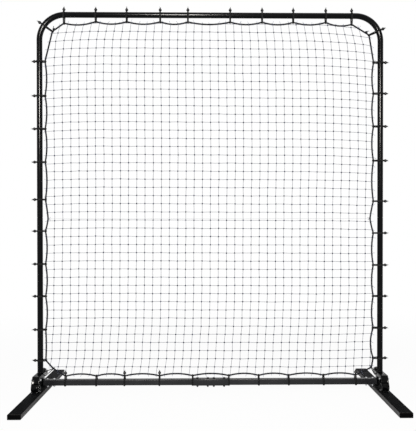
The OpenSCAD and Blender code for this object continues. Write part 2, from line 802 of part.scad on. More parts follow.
// Bungee loop round a tube at the origin (along Z) and the rope at distance d along +X
module tube_loop(d) {
    centres = [[0, 0], [d, 0]];
    linear_extrude(cord_d, center = true)
        difference() {
            strap_outline(centres, [tube_r + gap + cord_d, rope_end_r + cord_d]);
            strap_outline(centres, [tube_r + gap, rope_end_r]);
        }
}

// Ball with its bore along X
module ball() {
    rotate([0, 90, 0]) rotate_extrude()
        intersection() {
            circle(r = ball_r);
            translate([ball_bore / 2, -ball_r]) square(ball_d);
        }
}

// Ball on the far side of the tube
module tube_ball() {
    translate([-ball_out, 0, 0]) ball();
}

// Bungee loop round the crossbar and the rope at distance d above its centre, in plane YZ
module bar_loop(d) {
    half = bar_size / 2 - bar_corner;
    centres = [[-half, -half], [half, -half], [half, half], [0, d], [-half, half]];
    r = bar_corner + gap;
    out = r + cord_d;
    rotate([90, 0, 90]) linear_extrude(cord_d, center = true)
        difference() {
            strap_outline(centres, [out, out, out, rope_end_r + cord_d, out]);
            strap_outline(centres, [r, r, r, rope_end_r, r]);
        }
}

module bar_ball(d, up) {
    lift = d + rope_end_r + cord_d + gap + ball_half;
    back = bar_size / 2 + gap + cord_d + gap + ball_half;
    translate(up ? [0, 0, lift] : [0, back, 0]) rotate(up ? [0, 90, 0] : [0, 0, 90]) ball();
}

module each_top_tie() {
    for (i = [0 : ties - 1])
        translate([top_x[i], frame_setback, top_z]) rotate([0, 90, 0]) {
            $drop = top_z - top_rope_z(i);
            children();
        }
}

module each_side_tie(side) {
    for (z = side < 0 ? left_z : right_z)
        translate([side * upright_x, frame_setback, z]) rotate([0, 0, side < 0 ? 0 : 180])
            children();
}

module each_corner_tie() {
    for (side = [-1, 1])
        mirrored(side) translate([bend_x, frame_setback, bend_z])
            rotate([0, -corner_angle[side < 0 ? 0 : 1], 0])
                translate([bend_radius, 0, 0]) rotate([0, 0, 180]) children();
}

// Cord from a low corner knot round the bracket's arm; x is measured inwards from the upright
module arm_loop(side) {
    r = cord_d / 2;
    turn = r / 2;                              // how far the cord cuts each corner of the arm
    knot = [low_knot_x[side < 0 ? 0 : 1], low_knot_z];
    way = unit(knot - [bracket_inner, arm_top]);
    round_rope = rope_r + r + 2 * rope_room;
    wide = bracket_inner + r + gap;
    high = arm_top + r + gap;
    low = arm_bottom - r - gap;
    function over(y, reach) = [knot[0] + way[0] * reach, y, knot[1] + way[1] * reach];
    at_upright(side) mirror([1, 0, 0])
        cord_loop([over(-round_rope, -3), over(-round_rope * 0.7, round_rope * 0.7),
                   over(round_rope * 0.7, round_rope * 0.7), over(round_rope, -3),
                   [wide, low_tie_y, low + turn], [wide - turn, low_tie_y, low],
                   [turn - wide, low_tie_y, low], [-wide, low_tie_y, low + turn],
                   [-wide, low_tie_y, high - turn], [turn - wide, low_tie_y, high],
                   [wide - turn, low_tie_y, high], [wide, low_tie_y, high - turn / 2]], r, [0, 1, 0]);
}

// Ball of a low corner tie, on the cord over the arm
module arm_ball(side) {
    at_upright(side)
        translate([-tube_r + ball_r / 2, low_tie_y, arm_top + 2 * gap + cord_d + ball_r]) ball();
}

module top_bungees() { color(cord_black) each_top_tie() tube_loop($drop); }
module top_bungee_balls() { color(plastic_black) each_top_tie() tube_ball(); }

module side_bungees(side) {
    color(cord_black) each_side_tie(side) tube_loop(side < 0 ? rope_left : rope_right);
}

module side_bungee_balls(side) { color(plastic_black) each_side_tie(side) tube_ball(); }

module bottom_bungees() {
    color(cord_black) for (x = bottom_x)
        translate([x, frame_setback, bar_z]) bar_loop(rope_bottom);
}

module bottom_bungee_balls() {
    color(plastic_black) for (i = [0 : ties - 1])
        translate([bottom_x[i], frame_setback, bar_z]) bar_ball(rope_bottom, ball_up[i] == 1);
}

module corner_bungees() {
    color(cord_black) {
        each_corner_tie() tube_loop(knot_drop);
        for (side = [-1, 1]) arm_loop(side);
    }
}

module corner_bungee_balls() {
    color(plastic_black) {
        each_corner_tie() tube_ball();
        for (side = [-1, 1]) arm_ball(side);
    }
}

// ---------------------------------------------------------------- pieces

top_rail(-1);  // top_rail_left
top_rail(1);  // top_rail_right
corner_bend(-1);  // left_corner_bend
corner_bend(1);  // right_corner_bend
upper_upright(-1);  // left_upper_upright
upper_upright(1);  // right_upper_upright
lower_upright(-1);  // left_lower_upright
lower_upright(1);  // right_lower_upright
joint_screws();
crossbar(-1);  // crossbar_left
crossbar(1);  // crossbar_right
crossbar_sleeve();
sleeve_bolts();
sleeve_nuts();
crossbar_end_bolts();
crossbar_end_nuts();
foot_bracket(-1);  // left_foot_bracket
foot_bracket(1);  // right_foot_bracket
bracket_bolts();
bracket_nuts();
hinge_pin(-1);  // left_hinge_pin
hinge_pin(1);  // right_hinge_pin
hinge_barrel(-1);  // left_hinge_barrel
hinge_barrel(1);  // right_hinge_barrel
hinge_bushes(-1);  // left_hinge_bushes
hinge_bushes(1);  // right_hinge_bushes
leg(-1);  // left_leg
leg(1);  // right_leg
leg_caps(-1);  // left_leg_caps
leg_caps(1);  // right_leg_caps
adjuster_pad(-1);  // left_adjuster_pad
adjuster_pad(1);  // right_adjuster_pad
adjuster_screw(-1);  // left_adjuster_screw
adjuster_screw(1);  // right_adjuster_screw
adjuster_knob(-1);  // left_adjuster_knob
adjuster_knob(1);  // right_adjuster_knob
border_rope();
net();
top_bungees();
bottom_bungees();
side_bungees(-1);  // left_bungees
side_bungees(1);  // right_bungees
corner_bungees();
top_bungee_balls();
bottom_bungee_balls();
side_bungee_balls(-1);  // left_bungee_balls
side_bungee_balls(1);  // right_bungee_balls
corner_bungee_balls();
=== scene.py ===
"""Looks of a pitch back rebounder: net, rope, ball bungees, coated metal and a small studio.

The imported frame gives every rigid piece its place. Lengths are in metres, +Z is up, and the
net hangs in the plane of the two uprights.
"""

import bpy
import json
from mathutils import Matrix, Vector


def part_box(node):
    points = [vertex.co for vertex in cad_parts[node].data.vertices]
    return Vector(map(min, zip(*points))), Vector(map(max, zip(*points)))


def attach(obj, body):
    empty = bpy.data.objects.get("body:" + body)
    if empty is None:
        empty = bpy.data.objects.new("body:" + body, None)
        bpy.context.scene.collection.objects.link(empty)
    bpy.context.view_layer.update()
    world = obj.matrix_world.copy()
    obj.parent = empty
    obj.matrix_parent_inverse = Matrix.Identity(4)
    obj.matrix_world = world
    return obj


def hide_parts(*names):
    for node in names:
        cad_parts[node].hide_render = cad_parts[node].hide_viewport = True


bl_info = {
    "name": "Pitch Back Rebounder",
    "version": (1, 0, 0),
    "blender": (4, 5, 0),
    "location": "View3D > Sidebar > Rebounder",
    "description": "Dresses a pitch back rebounder with its net, rope, ball bungees and finishes",
    "category": "Object",
}

import json
import math
import random
from dataclasses import dataclass

import bmesh
import bpy
from bpy.props import FloatProperty, FloatVectorProperty, IntProperty, PointerProperty
from mathutils import Matrix, Vector, noise

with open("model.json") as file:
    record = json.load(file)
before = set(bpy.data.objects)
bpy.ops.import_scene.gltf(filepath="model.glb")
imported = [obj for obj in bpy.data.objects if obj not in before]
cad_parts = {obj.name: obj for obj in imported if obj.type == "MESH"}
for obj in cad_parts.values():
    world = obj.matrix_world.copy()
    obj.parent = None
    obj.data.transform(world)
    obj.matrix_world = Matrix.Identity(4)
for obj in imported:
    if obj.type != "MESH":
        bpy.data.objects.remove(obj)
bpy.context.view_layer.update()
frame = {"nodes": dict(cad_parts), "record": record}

MM = 0.001
X, Y, Z = Vector((1, 0, 0)), Vector((0, 1, 0)), Vector((0, 0, 1))
WELD = 0.002 * MM                      # distance at which doubled vertices are one


# ---------------------------------------------------------------- places, from the frame

def middle(node):
    """Centre of a CAD node's box."""
    low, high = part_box(node)
    return (low + high) / 2


def half_size(node):
    """Half the size of a CAD node's box."""
    low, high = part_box(node)
    return (high - low) / 2


def merged(node):
    """A bmesh of a CAD node's solids with their loose triangles joined."""
    bm = bmesh.new()
    bm.from_mesh(frame["nodes"][node].data)
    bmesh.ops.remove_doubles(bm, verts=bm.verts, dist=WELD)
    return bm


def solids(node):
    """Boxes (low, high) of the separate solids in a CAD node."""
    bm = merged(node)
    seen = set()
    boxes = []
    for start in bm.verts:
        if start in seen:
            continue
        seen.add(start)
        island = [start]
        for vert in island:
            for edge in vert.link_edges:
                other = edge.other_vert(vert)
                if other not in seen:
                    seen.add(other)
                    island.append(other)
        low = Vector([min(v.co[a] for v in island) for a in range(3)])
        high = Vector([max(v.co[a] for v in island) for a in range(3)])
        boxes.append((low, high))
    bm.free()
    return boxes


def centres(node):
    """Centres of the separate solids in a CAD node."""
    return [(low + high) / 2 for low, high in solids(node)]


UPRIGHT_X = middle("right_lower_upright").x
TUBE_R = half_size("right_lower_upright").x
PLANE_Y = middle("right_lower_upright").y
TOP_Z = middle("top_rail_right").z
BAR_Z = middle("crossbar_left").z
BAR_HALF = half_size("crossbar_left").z
PIVOT = middle("left_hinge_pin")
LEG_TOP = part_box("left_leg")[1].z

GAP = 0.3 * MM                         # seat gap between pieces that rest on each other
BEND_RADIUS = 141 * MM                 # centreline radius of the top bends
BAR_CORNER = 3 * MM                    # outside corner radius of the bar
ROPE_D = 6.5 * MM
ROPE_ROOM = 0.8 * MM                   # room of the rope in a bungee's end
CORD_D = 4.5 * MM
ROPE_R = ROPE_D / 2
CORD_R = CORD_D / 2
ROPE_END_R = ROPE_R + ROPE_ROOM
TIE_REACH = ROPE_END_R + CORD_D        # from the rope's centre to a loop's outer end
BALL_BORE_R = 3 * MM
KNOT_DROP = 57 * MM                    # top corner knots, from the tube's centreline
LOW_KNOT_X = {-1: 72 * MM, 1: 48 * MM}  # low corner knots, from the uprights
LOW_KNOT_Z = 137 * MM
LOW_TIE_Y = 30 * MM                    # low corner ties, behind the uprights
ARM_HEIGHT = 20 * MM                   # of the brackets' arms that those ties pass round
# Sag of the rope between two ties, at the sides, along the top and along the bottom
SAG_SIDE, SAG_TOP, SAG_BOTTOM = 9 * MM, 14 * MM, 12 * MM
LOW_SAG = {-1: 3 * MM, 1: 15 * MM}     # the lowest side bays, which the low corners draw askew
WAIST_Z = 978 * MM                     # the thin line across the net at mid-height
WAIST_DRAW = {-1: 15 * MM, 1: 19 * MM}  # how far it draws the rope in
WAIST_SLACK = 1.5 * MM                 # bow of the rope on each side of its knot


def arm_half_width():
    """Half the width of a bracket's arm, from the cord loop that lies on its two sides."""
    outer = min(low.x for low, _ in solids("corner_bungees") if low.z < TOP_Z / 2)
    return -outer - UPRIGHT_X - CORD_D - GAP


ARM_HALF_W = arm_half_width()
BALL_LOW, BALL_HIGH = solids("left_bungee_balls")[0]
BALL_R = (BALL_HIGH.z - BALL_LOW.z) / 2
BALL_HALF = math.sqrt(BALL_R ** 2 - BALL_BORE_R ** 2)      # from a ball's centre to its bore's end

LEFT_Z = sorted(c.z for c in centres("left_bungees"))
RIGHT_Z = sorted(c.z for c in centres("right_bungees"))
TOP_TIES = sorted(((low.x + high.x) / 2, low.z + TIE_REACH) for low, high in solids("top_bungees"))
BOTTOM_X = sorted(c.x for c in centres("bottom_bungees"))
LEFT_ROPE_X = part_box("left_bungees")[1].x - TIE_REACH
RIGHT_ROPE_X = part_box("right_bungees")[0].x + TIE_REACH
LOW_ROPE_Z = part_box("bottom_bungees")[1].z - TIE_REACH
BOTTOM_BALLS = {round(c.x, 3): c.z for c in centres("bottom_bungee_balls")}


def in_plane(x, z):
    """A point of the net's plane."""
    return Vector((x, PLANE_Y, z))


def bend_centre(side):
    """Centre of a top bend's arc: side is -1 at the left and 1 at the right, here and below."""
    return in_plane(side * (UPRIGHT_X - BEND_RADIUS), TOP_Z - BEND_RADIUS)


def corner_ball(side, upper):
    """Centre of the ball at an upper or lower corner."""
    return next(c for c in centres("corner_bungee_balls")
                if c.x * side > 0 and (c.z > TOP_Z / 2) == upper)


def corner_way(side):
    """Direction from a top bend's centre to its tie, found from the tie's ball."""
    ball = corner_ball(side, upper=True)
    return (in_plane(ball.x, ball.z) - bend_centre(side)).normalized()


def low_knot(side):
    """Where the rope is knotted at a low corner."""
    return in_plane(side * (UPRIGHT_X - LOW_KNOT_X[side]), LOW_KNOT_Z)


# ---------------------------------------------------------------- settings

def length_prop(name, description, default, low, high):
    """A length setting, given in millimetres."""
    return FloatProperty(name=name, description=description, default=default * MM,
                         min=low * MM, max=high * MM, unit="LENGTH")


def colour_prop(name, description, default):
    """A colour setting."""
    return FloatVectorProperty(name=name, description=description, subtype="COLOR",
                               default=default, min=0, max=1)


class NetSettings(bpy.types.PropertyGroup):
    """Sizes and colours of the net and its border rope."""
    mesh: length_prop("Mesh", "Distance from knot to knot", 45.9, 30, 80)
    twine: length_prop("Twine", "Diameter of the net's twine", 2.0, 1, 4)
    knot: length_prop("Knot", "Longest size of a knot", 9.6, 3, 14)
    unevenness: length_prop("Unevenness", "How far a knot may be off the grid", 1.0, 0, 5)
    tail: length_prop("Cut ends", "Longest cut end of the lacing", 15, 0, 30)
    lay: length_prop("Rope lay", "Length of one turn of the rope's strands", 24, 10, 60)
    fullness: FloatProperty(name="Rope fullness", default=1.5, min=0.8, max=2.0, subtype="FACTOR",
                            description="Loose rope's size by its pulled size")
    twine_colour: colour_prop("Twine colour", "Colour of the net", (0.06, 0.07, 0.11))
    rope_colour: colour_prop("Rope colour", "Colour of the border rope", (0.007, 0.008, 0.012))


class TieSettings(bpy.types.PropertyGroup):
    """Sizes and colours of the ball bungees."""
    splay: length_prop("Strand splay", "Gap between a bungee's two strands", 0.3, 0, 3)
    tail: length_prop("Tail", "Length of the cord ends past the knot", 9, 2, 20)
    fibres: IntProperty(name="Fibres", description="Frayed fibres on each cord end",
                        default=6, min=2, max=12)
    cord_colour: colour_prop("Cord colour", "Colour of the bungee cord", (0.004, 0.0042, 0.005))
    ball_colour: colour_prop("Ball colour", "Colour of the balls", (0.010, 0.010, 0.011))
    fibre_colour: colour_prop("Fibre colour", "Colour of the frayed ends", (0.30, 0.31, 0.33))


class MetalSettings(bpy.types.PropertyGroup):
    """Edges and colours of the coated metal."""
    edge: length_prop("Edge rounding", "Rounding of plate and tube edges", 0.5, 0.1, 1.5)
    weld: length_prop("Weld bead", "Width of a weld bead", 5, 2, 9)
    frame_colour: colour_prop("Frame coat", "Colour of the round tubes", (0.0008, 0.0010, 0.0014))
    bar_colour: colour_prop("Bar coat", "Colour of the square crossbar", (0.011, 0.0115, 0.0135))
    leg_colour: colour_prop("Leg coat", "Colour of the legs and brackets", (0.005, 0.0055, 0.0065))


class StudioSettings(bpy.types.PropertyGroup):
    """Light and floor of the studio."""
    key_power: FloatProperty(name="Key power", description="Power of the soft box by the camera",
                             default=135, min=0, max=1000, unit="POWER")
    daylight: FloatProperty(name="Room light", description="Strength of the room's even light",
                            default=0.28, min=0, max=2)
    floor_colour: colour_prop("Floor", "Colour of the floor", (0.9, 0.9, 0.9))


# ---------------------------------------------------------------- shader node helpers

FLOAT, COLOUR, VECTOR = "NodeSocketFloat", "NodeSocketColor", "NodeSocketVector"


def feed(tree, node, values):
    """Gives values to a node's input sockets, as links where they are sockets themselves."""
    for name, value in values.items():
        if isinstance(value, bpy.types.NodeSocket):
            tree.links.new(value, node.inputs[name])
        else:
            node.inputs[name].default_value = value


def put(tree, kind, values=None, **attributes):
    """Adds a shader node with the given attributes and input values."""
    node = tree.nodes.new(kind)
    for name, value in attributes.items():
        setattr(node, name, value)
    feed(tree, node, values or {})
    return node


def calc(tree, operation, a, b=0.0):
    """Result socket of a math node."""
    return put(tree, "ShaderNodeMath", {0: a, 1: b}, operation=operation).outputs[0]


def ramp(tree, value, low, high, to_low=0.0, to_high=1.0):
    """Value taken linearly from low..high to to_low..to_high, and held there."""
    node = put(tree, "ShaderNodeMapRange", {"Value": value, "From Min": low, "From Max": high,
                                            "To Min": to_low, "To Max": to_high})
    return node.outputs["Result"]


def cloud(tree, point, scale, detail, roughness=0.5):
    """Value of a noise texture."""
    node = put(tree, "ShaderNodeTexNoise", {"Vector": point, "Scale": scale, "Detail": detail,
                                            "Roughness": roughness})
    return node.outputs["Fac"]


def bands(tree, point, values):
    """Value of smooth bands across X."""
    node = put(tree, "ShaderNodeTexWave", {"Vector": point, **values},
               wave_type="BANDS", bands_direction="X", wave_profile="SIN")
    return node.outputs["Fac"]


def mapped(tree, point, **values):
    """The point turned or stretched."""
    return put(tree, "ShaderNodeMapping", {"Vector": point, **values}).outputs[0]


def normal_part(tree, axis):
    """One part, X, Y or Z, of the surface's normal."""
    normal = tree.nodes.new("ShaderNodeNewGeometry").outputs["Normal"]
    return put(tree, "ShaderNodeSeparateXYZ", {"Vector": normal}).outputs[axis]


def toned(tree, colour, gain):
    """The colour made brighter or darker by a gain."""
    return put(tree, "ShaderNodeVectorMath", {0: colour, "Scale": gain},
               operation="SCALE").outputs[0]


def blend_colour(tree, mask, a, b):
    """Colour a where the mask is 0, and b where it is 1."""
    return put(tree, "ShaderNodeMix", {"Factor": mask, 6: a, 7: b}, data_type="RGBA").outputs[2]


def effect(build, inputs, outputs):
    """A shader node group named after its builder: inputs are (kind, default) by socket name."""
    group = bpy.data.node_groups.new(build.__name__, "ShaderNodeTree")
    group.interface.new_socket(name="Vector", in_out="INPUT", socket_type=VECTOR)
    for socket, (kind, default) in inputs.items():
        made = group.interface.new_socket(name=socket, in_out="INPUT", socket_type=kind)
        made.default_value = default
    for socket, kind in outputs.items():
        group.interface.new_socket(name=socket, in_out="OUTPUT", socket_type=kind)
    entry = group.nodes.new("NodeGroupInput")
    leave = group.nodes.new("NodeGroupOutput")
    feed(group, leave, build(group, entry.outputs))


def use(tree, build, point, values):
    """Places an effect's node group in a material and returns its outputs."""
    return put(tree, "ShaderNodeGroup", {"Vector": point, **values},
               node_tree=bpy.data.node_groups[build.__name__]).outputs


def coat_texture(tree, given):
    """Orange peel and fine grit of a sprayed powder coat."""
    peel = cloud(tree, given["Vector"], given["Scale"], 2.0, 0.45)
    grit = cloud(tree, given["Vector"], calc(tree, "MULTIPLY", given["Scale"], 5.0), 1.0)
    return {"Height": calc(tree, "ADD", peel, calc(tree, "MULTIPLY", grit, given["Grit"]))}


def handling_marks(tree, given):
    """Mask of scuffs: long faint scratches that come in patches."""
    stretched = mapped(tree, given["Vector"], Rotation=(0.35, 0.5, 0.2), Scale=(1.0, 1.0, 14.0))
    lines = ramp(tree, cloud(tree, stretched, given["Scale"], 3.0), 0.62, 0.72)
    patches = ramp(tree, cloud(tree, given["Vector"], 9.0, 2.0), 0.48, 0.66)
    both = calc(tree, "MULTIPLY", lines, patches)
    return {"Mask": calc(tree, "MULTIPLY", both, given["Amount"])}


def dust_film(tree, given):
    """Mask of dust that lies on faces which look up."""
    lying = ramp(tree, normal_part(tree, "Z"), 0.35, 0.95)
    patchy = ramp(tree, cloud(tree, given["Vector"], given["Scale"], 4.0, 0.65),
                  0.32, 0.72, 0.25, 1.0)
    both = calc(tree, "MULTIPLY", lying, patchy)
    return {"Mask": calc(tree, "MULTIPLY", both, given["Amount"])}


def painted_flank_reflection(tree, given):
    """Mask of a painted reflection: pale patches on faces that look sideways, streaked along the
    piece.
    """
    flank = ramp(tree, calc(tree, "ABSOLUTE", normal_part(tree, "X")), 0.7, 0.98)
    drawn = mapped(tree, given["Vector"], Scale=(1.0, 0.12, 1.0))
    patchy = ramp(tree, cloud(tree, drawn, given["Scale"], 4.0, 0.6), 0.3, 0.7, 0.6, 1.0)
    both = calc(tree, "MULTIPLY", flank, patchy)
    return {"Mask": calc(tree, "MULTIPLY", both, given["Amount"])}


def tone_drift(tree, given):
    """Slow changes of tone over a surface, as a colour."""
    low = calc(tree, "SUBTRACT", 1.0, given["Amount"])
    high = calc(tree, "ADD", 1.0, given["Amount"])
    drift = cloud(tree, given["Vector"], given["Scale"], 3.0, 0.6)
    return {"Color": toned(tree, given["Color"], ramp(tree, drift, 0.3, 0.7, low, high))}


def twisted_yarn(tree, given):
    """Height of yarns that run slantwise over a twine or strand."""
    turned = mapped(tree, given["Vector"], Rotation=(0.0, math.radians(40), 0.0))
    yarns = bands(tree, turned, {"Scale": given["Scale"], "Distortion": 1.2, "Detail": 1.0})
    fuzz = calc(tree, "MULTIPLY", cloud(tree, given["Vector"], 2600.0, 2.0), given["Fuzz"])
    return {"Height": calc(tree, "ADD", yarns, fuzz)}


def braided_sheath(tree, given):
    """Height of a braided sheath, bands that cross both ways along the cord, and a painted shade
    that is darker in its grooves.
    """
    left, right = (bands(tree, mapped(tree, given["Vector"], Rotation=(0.0, 0.0, turn)),
                         {"Scale": given["Scale"]})
                   for turn in (math.radians(-45), math.radians(45)))
    height = calc(tree, "MAXIMUM", left, right)
    return {"Height": height, "Shade": ramp(tree, height, 0.2, 0.9, 0.45, 1.0)}


def make_effects():
    """The node groups that the finishes share."""
    for build, scale, amounts, outputs in (
            (coat_texture, 700.0, {"Grit": 0.3}, ["Height"]),
            (handling_marks, 160.0, {"Amount": 0.3}, ["Mask"]),
            (dust_film, 60.0, {"Amount": 0.2}, ["Mask"]),
            (painted_flank_reflection, 30.0, {"Amount": 0.2}, ["Mask"]),
            (twisted_yarn, 300.0, {"Fuzz": 0.4}, ["Height"]),
            (braided_sheath, 200.0, {}, ["Height", "Shade"])):
        inputs = {"Scale": (FLOAT, scale), **{k: (FLOAT, v) for k, v in amounts.items()}}
        effect(build, inputs, {name: FLOAT for name in outputs})
    effect(tone_drift, {"Color": (COLOUR, (0.5, 0.5, 0.5, 1.0)), "Scale": (FLOAT, 12.0),
                        "Amount": (FLOAT, 0.15)}, {"Color": COLOUR})


# ---------------------------------------------------------------- materials

DUST = (0.33, 0.31, 0.28, 1.0)
PAINTED_REFLECTION_GREY = (0.32, 0.32, 0.33, 1.0)  # pale grey painted on faces that look sideways, as their reflection
BARE_STEEL = (0.16, 0.15, 0.14, 1.0)
BRIGHT_ZINC, DULL_ZINC = (0.62, 0.63, 0.65, 1.0), (0.44, 0.45, 0.46, 1.0)
RUBBED_ZINC = (0.2, 0.19, 0.18, 1.0)
BLACK_STEEL = (0.012, 0.012, 0.013, 1.0)


def finish_of(name):
    """The finish made under a material slot's name."""
    return bpy.data.materials[name + "_finish"]


def begin_finish(name):
    """A new finish's node tree, its Principled shader and its Object coordinates."""
    material = bpy.data.materials.new(name + "_finish")
    material.use_nodes = True
    tree = material.node_tree
    tree.nodes.clear()
    shader = tree.nodes.new("ShaderNodeBsdfPrincipled")
    put(tree, "ShaderNodeOutputMaterial", {"Surface": shader.outputs[0]})
    point = tree.nodes.new("ShaderNodeTexCoord").outputs["Object"]
    return tree, shader, point


def bump(tree, height, strength, distance):
    """Normal of a surface with the given relief."""
    return put(tree, "ShaderNodeBump", {"Height": height, "Strength": strength,
                                        "Distance": distance}).outputs["Normal"]


def mask_of(tree, build, point, scale, amount):
    """Mask of an effect, at its size and strength."""
    return use(tree, build, point, {"Scale": scale, "Amount": amount})["Mask"]


def grain_of(tree, point, scale, grit):
    """Height of a coat's or a casting's grain."""
    return use(tree, coat_texture, point, {"Scale": scale, "Grit": grit})["Height"]


def drifting(tree, point, colour, scale, amount):
    """A colour whose tone drifts over the surface."""
    return use(tree, tone_drift, point, {"Color": (*colour, 1.0), "Scale": scale,
                                         "Amount": amount})["Color"]


def powder_coat(name, colour, roughness, gloss, dust, painted_reflection=0.0, relief=0.12):
    """Sprayed and baked coat on steel: scuffs down to the metal, dust on top, and a painted
    reflection that makes faces looking sideways pale.
    """
    tree, shader, point = begin_finish(name)
    tone = drifting(tree, point, colour, 9.0, 0.25)
    marks = mask_of(tree, handling_marks, point, 150.0, 0.35)
    film = mask_of(tree, dust_film, point, 55.0, dust)
    # Painted reflection: faces that look sideways are blended towards a pale grey, in streaky
    # patches, standing in for the light they reflect.
    if painted_reflection:
        tone = blend_colour(tree, mask_of(tree, painted_flank_reflection, point, 30.0, painted_reflection), tone, PAINTED_REFLECTION_GREY)
    worn = blend_colour(tree, marks, tone, BARE_STEEL)
    rough = calc(tree, "ADD", ramp(tree, marks, 0.0, 1.0, roughness, roughness + 0.25), film)
    feed(tree, shader, {
        "Base Color": blend_colour(tree, film, worn, DUST), "Roughness": rough,
        "Specular IOR Level": gloss,
        "Normal": bump(tree, grain_of(tree, point, 650.0, 0.25), relief, 0.2 * MM)})


def zinc_plate(name):
    """Bright zinc on bolts and screws, with dull spangle and grey handling marks."""
    tree, shader, point = begin_finish(name)
    spangle = put(tree, "ShaderNodeTexVoronoi", {"Vector": point, "Scale": 900.0})
    tone = ramp(tree, spangle.outputs["Distance"], 0.0, 0.8)
    marks = mask_of(tree, handling_marks, point, 240.0, 0.6)
    feed(tree, shader, {
        "Base Color": blend_colour(tree, marks, blend_colour(tree, tone, BRIGHT_ZINC, DULL_ZINC),
                                   RUBBED_ZINC),
        "Metallic": 1.0, "Roughness": ramp(tree, tone, 0.0, 1.0, 0.3, 0.46),
        "Normal": bump(tree, grain_of(tree, point, 1400.0, 0.4), 0.1, 0.1 * MM)})


def black_bolt(name):
    """Black-finished fasteners: dark metal with a soft gloss and bare corners."""
    tree, shader, point = begin_finish(name)
    marks = mask_of(tree, handling_marks, point, 300.0, 0.8)
    feed(tree, shader, {
        "Base Color": blend_colour(tree, marks, BLACK_STEEL, BARE_STEEL),
        "Metallic": ramp(tree, marks, 0.0, 1.0, 0.35, 0.9),
        "Roughness": ramp(tree, marks, 0.0, 1.0, 0.38, 0.5),
        "Normal": bump(tree, grain_of(tree, point, 1600.0, 0.5), 0.1, 0.1 * MM)})


def moulded_plastic(name, colour, roughness, gloss, grain_scale):
    """Injection-moulded plastic with a spark-eroded grain and rubbed, duller high spots."""
    tree, shader, point = begin_finish(name)
    marks = mask_of(tree, handling_marks, point, 200.0, 0.3)
    feed(tree, shader, {
        "Base Color": blend_colour(tree, mask_of(tree, dust_film, point, 90.0, 0.05),
                                   drifting(tree, point, colour, 40.0, 0.3), DUST),
        "Roughness": ramp(tree, marks, 0.0, 1.0, roughness, roughness + 0.2),
        "Specular IOR Level": gloss,
        "Normal": bump(tree, grain_of(tree, point, grain_scale, 0.8), 0.2, 0.15 * MM)})


def twine_fibre(name, colour, yarn_scale, fuzz, sheen):
    """Twisted synthetic yarn with slanting yarns, loose fuzz, uneven dye, and painted shade that
    darkens the grooves between yarns.
    """
    tree, shader, point = begin_finish(name)
    yarns = use(tree, twisted_yarn, point, {"Scale": yarn_scale, "Fuzz": fuzz})["Height"]
    # Painted shade: the base colour is darker in the grooves between yarns and lighter on their
    # crests.
    shade = ramp(tree, yarns, 0.1, 1.2, 0.55, 1.15)
    feed(tree, shader, {
        "Base Color": toned(tree, drifting(tree, point, colour, 26.0, 0.35), shade),
        "Roughness": 0.72, "Specular IOR Level": 0.1, "Sheen Weight": sheen,
        "Sheen Roughness": 0.5, "Normal": bump(tree, yarns, 0.5, 0.25 * MM)})


def braided_cord(name, colour, braid_scale, sheen):
    """Braided sheath of a bungee cord, laid along the cord's own UV map."""
    tree, shader, point = begin_finish(name)
    along = tree.nodes.new("ShaderNodeTexCoord").outputs["UV"]
    braid = use(tree, braided_sheath, mapped(tree, along, Scale=(40.0, 3.0, 1.0)),
                {"Scale": braid_scale})
    # Painted shade: the dyed colour is made darker in the braid's grooves.
    dye_and_shade = toned(tree, drifting(tree, point, colour, 30.0, 0.35), braid["Shade"])
    feed(tree, shader, {
        "Base Color": blend_colour(tree, mask_of(tree, dust_film, point, 120.0, 0.06), dye_and_shade, DUST),
        "Roughness": 0.68, "Specular IOR Level": 0.1, "Sheen Weight": sheen,
        "Normal": bump(tree, braid["Height"], 0.6, 0.3 * MM)})


def make_materials(scene):
    """Every finish of the rebounder, under the names of its material slots."""
    net, ties, metal = scene.rebounder_net, scene.rebounder_ties, scene.rebounder_metal
    make_effects()
    powder_coat("frame_paint", metal.frame_colour, 0.15, 0.08, 0.002, relief=0.06)
    powder_coat("bar_paint", metal.bar_colour, 0.36, 0.2, 0.04)
    # The legs' sideways faces get the painted reflection.
    powder_coat("leg_paint", metal.leg_colour, 0.45, 0.003, 0.01, painted_reflection=0.42)
    black_bolt("black_bolts")
    zinc_plate("zinc")
    moulded_plastic("black_plastic", (0.001, 0.001, 0.0012), 0.5, 0.02, 1100.0)
    moulded_plastic("ball_plastic", ties.ball_colour, 0.36, 0.15, 700.0)
    braided_cord("bungee_cord", ties.cord_colour, 3.0, 0.05)
    twine_fibre("rope", net.rope_colour, 260.0, 0.5, 0.05)
    twine_fibre("netting", net.twine_colour, 340.0, 0.4, 0.15)
    twine_fibre("frayed_fibre", ties.fibre_colour, 420.0, 0.6, 0.3)
    twine_fibre("cut_twine", [min(1.0, 2.6 * c) for c in net.twine_colour], 340.0, 0.5, 0.3)


class REBOUNDER_OT_finishes(bpy.types.Operator):
    """Make the rebounder's materials"""
    bl_idname = "rebounder.finishes"
    bl_label = "Finishes"

    def execute(self, context):
        make_materials(context.scene)
        return {"FINISHED"}


# ---------------------------------------------------------------- mesh helpers

ROUND_STEPS = 32                       # points to a full turn of a cord round a tube
KNOT_POINTS = 18                       # points of a small knot's loop


def in_scene(name, data):
    """A new object that is in the scene."""
    thing = bpy.data.objects.new(name, data)
    bpy.context.scene.collection.objects.link(thing)
    return thing


def add_piece(name, mesh, body, slot, replaces=(), material=None, smooth_angle=None):
    """Puts a mesh in the scene as a piece of the rebounder."""
    mesh.name = name
    piece = in_scene(name, mesh)
    mesh.materials.clear()
    mesh.materials.append(finish_of(material or slot))
    mesh.shade_smooth()
    if smooth_angle is not None:
        mesh.set_sharp_from_angle(angle=smooth_angle)
    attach(piece, body)
    if replaces:
        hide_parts(*replaces)
    return piece


